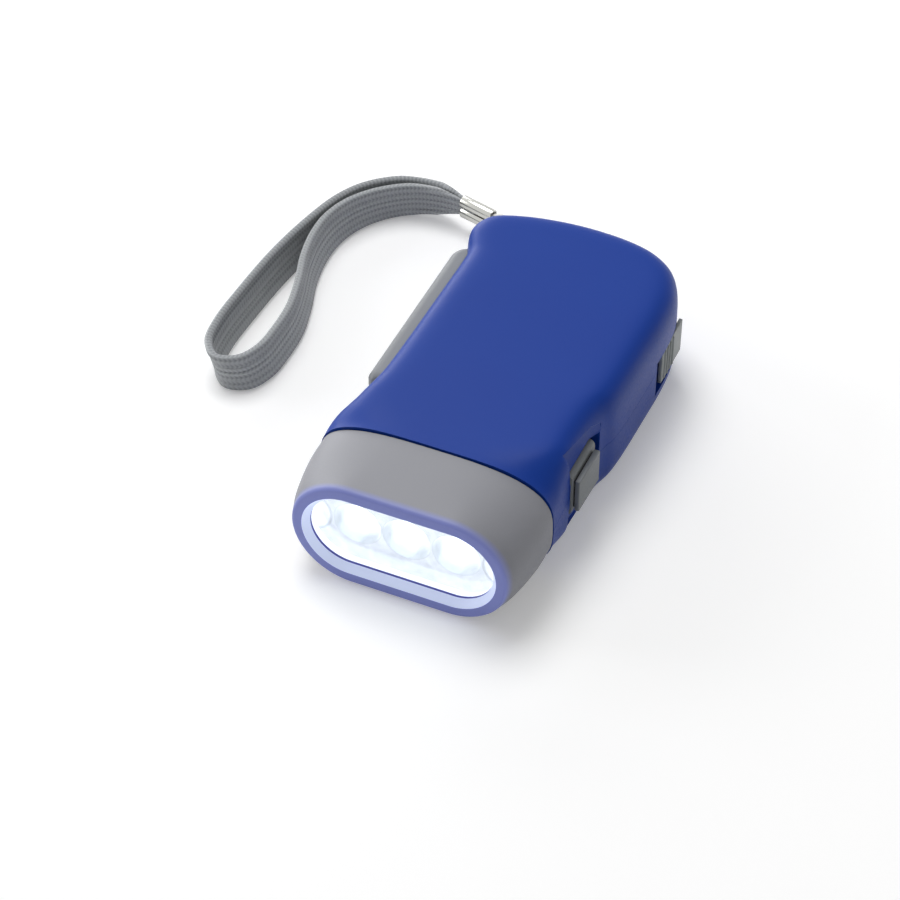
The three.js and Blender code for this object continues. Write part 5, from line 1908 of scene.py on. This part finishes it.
@dataclass
class Lever:
    """The squeeze lever: a hollow grip with rounded edges, a neck and the boss round its pivot."""

    outer_x: float = -26.5
    inner_x: float = -20.3
    front_y: float = 41.0
    rear_y: float = 91.8
    rear_round: float = 4.6
    height: float = 16.0
    edge_round: float = 2.4
    front_chamfer: float = 1.2
    boss_radius: float = 3.4
    neck_height: float = 10.0
    neck_step: float = 1.9
    neck_overlap: float = 3.4
    neck_outer_shares: tuple = (-0.85, 0.5)
    neck_inner_shares: tuple = (0.7, 0.7)
    skin: float = 1.6
    bore_radius: float = 1.7
    round_steps: int = 14
    edge_steps: int = 8
    small_edge: float = 0.3
    edge_degrees: float = 34.0

    def ring(self, inset: float, height: float) -> list[Vector]:
        """The grip's plan drawn in by an inset.

        Args:
            inset: how far it is drawn in.
            height: how high the ring is.

        Returns:
            The ring's points.
        """
        left, right = self.outer_x + inset, self.inner_x - inset
        front, rear = self.front_y + inset, self.rear_y - inset
        turn = self.rear_round - inset
        points = [(right, rear)]
        for i in range(self.round_steps + 1):
            angle = math.pi / 2 + math.pi / 2 * i / self.round_steps
            points.append((left + turn + turn * math.cos(angle), rear - turn + turn * math.sin(angle)))
        points += [(left, front + self.front_chamfer), (left + self.front_chamfer, front), (right, front)]
        return [Vector((x, y, height)) for x, y in points]

    def grip(self) -> bpy.types.Object:
        """The grip with its rounded top and bottom edges.

        Returns:
            The grip.
        """
        low, high = spread(TORCH.mid_height, self.height)
        edge = []
        for i in range(self.edge_steps + 1):
            angle = math.pi / 2 * i / self.edge_steps
            edge.append((self.edge_round * (1 - math.sin(angle)), self.edge_round * (1 - math.cos(angle))))
        rings = [self.ring(inset, low + rise) for inset, rise in edge]
        rings += [self.ring(inset, high - rise) for inset, rise in reversed(edge)]
        return loft("lever_grip", rings)

    def build(self) -> None:
        """Makes the lever."""
        pivot = Vector(TORCH.lever_pivot)
        levels = spread(TORCH.mid_height, self.neck_height)
        joined_y = self.front_y + self.neck_overlap
        neck_x = self.outer_x + self.neck_step
        outline = [
            pivot + Vector(self.neck_outer_shares) * self.boss_radius,
            pivot + Vector(self.neck_inner_shares) * self.boss_radius,
            Vector((self.inner_x - TORCH.gap, joined_y)),
            Vector((neck_x, joined_y)),
            Vector((neck_x, self.front_y - self.neck_overlap)),
        ]
        self.piece = self.grip()
        neck = prism("lever_neck", outline, *levels)
        boss = post("lever_boss", pivot, self.boss_radius, *levels)
        combine(self.piece, [neck, boss], Change.JOIN)
        low, high = spread(TORCH.mid_height, self.height)
        pocket = block(
            "lever_pocket",
            (self.outer_x + self.skin, self.inner_x + TORCH.overrun),
            (joined_y + self.skin, self.rear_y - self.skin),
            (low + self.skin, high - self.skin),
        )
        bore = post("lever_bore", pivot, self.bore_radius, -FAR, FAR)
        combine(self.piece, [pocket, bore], Change.CUT)
        soften(self.piece, self.small_edge, degrees=self.edge_degrees)
        smooth(self.piece)

    def dress(self) -> None:
        """Gives the lever its finish and body."""
        set_piece(self.piece, Finishes.GREY_LEVER, "lever", "grey_abs", "squeeze_lever")


# Switch


@dataclass
class Switch:
    """The sliding switch button: a rounded base in the window, and a cap that stands proud of it."""

    inner_x: float = 22.8
    flange_x: float = 23.8
    flange_ys: tuple = (28.3, 46.4)
    flange_height: float = 13.8
    base_xs: tuple = (27.4, 27.5)
    base_y: float = 31.0
    base_length: float = 12.8
    base_height: float = 12.0
    base_round: float = 1.7
    cap_xs: tuple = (28.9, 29.2)
    cap_y: float = 31.4
    cap_length: float = 11.2
    cap_height: float = 8.8
    cap_back_x: float = 27.75
    neck_inset: float = 0.55
    cap_edge: float = 0.25
    base_edge: float = 0.15
    edge_degrees: float = 50.0
    round_steps: int = 6

    def slab(
        self,
        name: str,
        inner_x: float,
        xs: tuple[float, float],
        ys: tuple[float, float],
        height: float,
        edge: float,
    ) -> bpy.types.Object:
        """A slab whose outer face leans and whose top and bottom outer edges are round.

        Args:
            name: the piece's name.
            inner_x: where the inner face is.
            xs: where the outer face is at the front and at the rear.
            ys: its front and rear.
            height: its height.
            edge: the radius of those edges.

        Returns:
            The object.
        """
        low, high = spread(TORCH.mid_height, height)
        rings = []
        for x, y in zip(xs, ys):
            ring = [Vector((inner_x, y, high)), Vector((inner_x, y, low))]
            for corner, start in ((low + edge, -math.pi / 2), (high - edge, 0)):
                for i in range(self.round_steps + 1):
                    angle = start + math.pi / 2 * i / self.round_steps
                    out, up = edge * math.cos(angle), edge * math.sin(angle)
                    ring.append(Vector((x - edge + out, y, corner + up)))
            rings.append(ring)
        return loft(name, rings)

    def build(self) -> None:
        """Makes the button."""
        base_ys = (self.base_y, self.base_y + self.base_length)
        cap_ys = (self.cap_y, self.cap_y + self.cap_length)
        base = self.slab(
            "switch_base", self.inner_x, self.base_xs, base_ys, self.base_height, self.base_round
        )
        flange = block(
            "switch_flange",
            (self.inner_x, self.flange_x),
            self.flange_ys,
            spread(TORCH.mid_height, self.flange_height),
        )
        combine(base, [flange], Change.JOIN)
        soften(base, self.base_edge, degrees=self.edge_degrees)
        # the neck under the cap is painted near black: painted shade for the gap round the cap
        neck_ys = (cap_ys[0] + self.neck_inset, cap_ys[1] - self.neck_inset)
        neck_height = self.cap_height - 2 * self.neck_inset
        neck_xs = (self.cap_back_x + self.base_edge, self.cap_back_x + self.base_edge)
        neck = self.slab("switch_neck", self.flange_x, neck_xs, neck_ys, neck_height, self.base_edge)
        cap = self.slab("switch_cap", self.cap_back_x, self.cap_xs, cap_ys, self.cap_height, self.cap_edge)
        soften(cap, self.cap_edge, degrees=self.edge_degrees)
        for piece in (base, neck, cap):
            smooth(piece)
        self.base, self.neck, self.cap = base, neck, cap

    def dress(self) -> None:
        """Gives the button its finish and body."""
        set_piece(self.base, Finishes.GREY_SWITCH, "button", "dark_grey_abs", "switch_button")
        # the neck carries painted shade, near black
        set_piece(self.neck, Finishes.PAINTED_SHADE_GAP, "button", "dark_grey_abs", "switch_button")
        set_piece(self.cap, Finishes.GREY_SWITCH, "button", "dark_grey_abs", "switch_button")


# Lock


@dataclass
class Lock:
    """The lock slide: a plate with grip ribs outside, a stem through the wall and an arm with a hook."""

    plate_xs: tuple = (28.9, 29.8)
    plate_ys: tuple = (80.0, 93.0)
    drop: float = 2.2
    height: float = 9.4
    ribs: int = 4
    rib_pitch: float = 1.7
    rib_radius: float = 0.35
    rib_steps: int = 8
    rib_tip_share: float = 0.3
    plate_edge: float = 0.2
    edge_segments: int = 3
    stem_ys: tuple = (84.4, 88.8)
    arm_x: float = 26.5
    arm_thickness: float = 2.4
    hook_height: float = 3.0
    hook_angle: float = 37.4
    hook_tip_radius: float = 66.9
    hook_reach: float = 2.5
    hook_width: float = 2.0

    def rib(self, index: int) -> bpy.types.Object:
        """One grip rib: an upright half round with tapered ends.

        Args:
            index: which rib it is, counted from 0 at the front.

        Returns:
            The rib.
        """
        low, high = spread(TORCH.mid_height - self.drop, self.height - 2 * self.rib_radius)
        middle = Vector((self.plate_xs[1], self.plate_ys[0] + self.rib_pitch * (index + 1)))
        tip, radius = self.rib_tip_share, self.rib_radius
        rings = []
        for share, height in ((tip, low), (1, low + radius), (1, high - radius), (tip, high)):
            points = round_points(middle, radius * share, 2 * self.rib_steps)
            rings.append([Vector((p.x, p.y, height)) for p in points])
        return loft(f"lock_rib_{index + 1}", rings)

    def hook(self) -> bpy.types.Object:
        """The arm and hook inside the case.

        Returns:
            The arm with its hook.
        """
        tip = Vector(TORCH.lever_pivot) + towards(self.hook_angle) * self.hook_tip_radius
        side = towards(self.hook_angle + QUARTER_TURN) * (self.hook_width / 2)
        back = towards(self.hook_angle) * self.hook_reach
        inner_x = self.arm_x - self.arm_thickness
        outline = [tip + side, tip + side + back]
        outline += [Vector((self.arm_x, y)) for y in self.stem_ys]
        outline += [Vector((inner_x, self.stem_ys[1])), tip - side + back, tip - side]
        return prism("lock_hook", outline, *spread(TORCH.mid_height, self.hook_height))

    def build(self) -> None:
        """Makes the lock slide."""
        levels = spread(TORCH.mid_height - self.drop, self.height)
        self.piece = block("lock_plate", self.plate_xs, self.plate_ys, levels)
        soften(self.piece, self.plate_edge, self.edge_segments)
        stem_xs = (self.arm_x - self.arm_thickness, (self.plate_xs[0] + self.plate_xs[1]) / 2)
        stem = block("lock_stem", stem_xs, self.stem_ys, spread(TORCH.mid_height, self.hook_height))
        ribs = [self.rib(i) for i in range(self.ribs)]
        combine(self.piece, [*ribs, stem, self.hook()], Change.JOIN)
        smooth(self.piece)

    def dress(self) -> None:
        """Gives the lock its finish and body."""
        set_piece(self.piece, Finishes.GREY_LOCK, "lock", "dark_grey_abs", "lock_slide")


# Screws


@dataclass
class CaseScrews:
    """The four cross-head screws in the underside."""

    sink: float = 0.8
    head_radius: float = 2.5
    head_height: float = 1.7
    dome: float = 0.35
    dome_shares: tuple = ((0.6, 0), (0.88, 1 / 3), (1, 1))
    shank_radius: float = 1.1
    tip_share: float = 0.25
    length: float = 19.0
    cross_width: float = 0.8
    cross_reach: float = 1.75
    cross_depth: float = 1.1
    pieces: list = field(default_factory=list)

    def screw(self, name: str, middle: Vector) -> bpy.types.Object:
        """One screw: a domed head with a cross recess, and its shank.

        Args:
            name: the piece's name.
            middle: the place of its axis in plan.

        Returns:
            The screw.
        """
        seat = self.sink + self.head_height
        profile = [
            (self.head_radius * out, self.sink + self.dome * up) for out, up in self.dome_shares
        ]
        profile += [
            (self.head_radius, seat),
            (self.shank_radius, seat),
            (self.shank_radius, seat + self.length - self.shank_radius),
            (self.shank_radius * self.tip_share, seat + self.length),
        ]
        rings = []
        for radius, height in profile:
            rings.append([Vector((p.x, p.y, height)) for p in round_points(middle, radius, ROUND_SIDES)])
        piece = loft(name, rings)
        depths = (-TORCH.overrun, self.sink + self.cross_depth)
        reach, width = 2 * self.cross_reach, self.cross_width
        bars = [
            block("bar", spread(middle.x, across), spread(middle.y, along), depths)
            for across, along in ((reach, width), (width, reach))
        ]
        combine(piece, bars, Change.CUT)
        smooth(piece)
        return piece

    def build(self) -> None:
        """Makes the screws."""
        case = Case()
        for i, share in enumerate(case.screw_places):
            self.pieces.append(self.screw(f"screw_{i + 1}", case.in_plan(share)))

    def dress(self) -> None:
        """Gives the screws their finish and body."""
        for i, piece in enumerate(self.pieces):
            set_piece(piece, Finishes.ZINC_STEEL, "case", "zinc_steel", f"case_screw_{i + 1}")


# Works inside


@dataclass
class Works:
    """The pieces inside the case, whose CAD shapes stay and get their real finishes."""

    finishes: dict = field(
        default_factory=lambda: {
            Finishes.ACETAL: (
                "sector_rack",
                "first_gear",
                "ratchet_pinion",
                "second_wheel",
                "rotor_pinion",
                "switch_toggle",
            ),
            Finishes.ZINC_STEEL: (
                "pivot_pin",
                "return_spring",
                "pawl_1",
                "pawl_2",
                "first_axle",
                "second_axle",
                "rotor_shaft",
                "strap_pin",
            ),
            Finishes.STAMPED_STEEL: ("lower_claw_plate", "upper_claw_plate", "flywheel"),
            Finishes.FERRITE: ("rotor_magnet",),
            Finishes.COPPER_COIL: ("coil",),
            Finishes.CELL_CAN: ("coin_cell_1", "coin_cell_2"),
            Finishes.GREEN_BOARD: ("circuit_board", "led_board"),
            Finishes.BLACK_NYLON: ("switch_body",),
        }
    )

    def build(self) -> None:
        """Nothing is made: the CAD shapes stay."""

    def dress(self) -> None:
        """Gives each piece its finish."""
        for choice, names in self.finishes.items():
            for name in names:
                dress_piece(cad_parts[name], choice)
                LOG.info("%s keeps its CAD shape, dressed as %s", name, choice.value.name)


# Studio


@dataclass
class Studio:
    """A white floor that keeps the torch's shadow, soft lamps above and to the left, and a pale world.

    Each lamp has a name, a place from the torch's middle and a side in millimetres, and a power in watts.
    """

    floor_size: float = 6000.0
    world_colour: str = "ffffff"
    world_level: float = 0.28
    lamps: tuple = (
        ("key_lamp", (-390.0, 340.0, 1190.0), 700.0, 11.0),
        ("side_lamp", (-1320.0, -120.0, 380.0), 700.0, 5.5),
        ("edge_lamp", (-1000.0, 860.0, 330.0), 900.0, 8.0),
    )

    def world(self) -> None:
        """A world that is white where it is seen and dimmer where it lights."""
        world = bpy.data.worlds.new("studio")
        world.use_nodes = True
        tree = world.node_tree
        tree.nodes.clear()
        spans = two_spans((0.0, 1.0), (self.world_level, 1.0))
        strength = add_node(tree, "ShaderNodeMapRange", {"Value": seen_directly(tree), **spans})
        inputs = {"Color": linear_colour(self.world_colour), "Strength": strength.outputs["Result"]}
        light = add_node(tree, "ShaderNodeBackground", inputs).outputs["Background"]
        add_node(tree, "ShaderNodeOutputWorld", {"Surface": light})
        bpy.context.scene.world = world

    def floor(self) -> None:
        """A flat white floor."""
        half = self.floor_size / 2
        corners = [Vector((x * half, y * half, 0)) for x, y in ((-1, -1), (1, -1), (1, 1), (-1, 1))]
        floor = mesh_piece("floor", corners, [(0, 1, 2, 3)])
        floor.data.materials.append(finish_of(Finishes.WHITE_BOARD))

    def soft_lamp(self, name: str, place: tuple, size: float, power: float) -> None:
        """A square soft lamp that faces the torch.

        Args:
            name: the lamp's name.
            place: where it is, in millimetres from the torch's middle.
            size: its side in millimetres.
            power: its power in watts.
        """
        lamp = bpy.data.lights.new(name, "AREA")
        lamp.size = size * MM
        lamp.energy = power
        holder = bpy.data.objects.new(name, lamp)
        holder.location = Vector(place) * MM
        holder.rotation_mode = "QUATERNION"
        holder.rotation_quaternion = (-holder.location).to_track_quat("-Z", "Y")
        bpy.context.scene.collection.objects.link(holder)

    def build(self) -> None:
        """Makes the floor, the world and the lamps."""
        self.world()
        self.floor()
        for lamp in self.lamps:
            self.soft_lamp(*lamp)
        bpy.context.scene.view_settings.view_transform = "Standard"

    def dress(self) -> None:
        """Nothing more: the studio's materials come with its pieces."""


def main() -> None:
    """Builds and dresses the torch and its studio."""
    logging.basicConfig(level=logging.INFO)
    PhotoView().build()
    for assembly in (Strap(), Case(), Lamp(), Lever(), Switch(), Lock(), CaseScrews(), Works(), Studio()):
        assembly.build()
        assembly.dress()
        LOG.info("%s is in place", type(assembly).__name__)


if __name__ == "__main__":
    main()
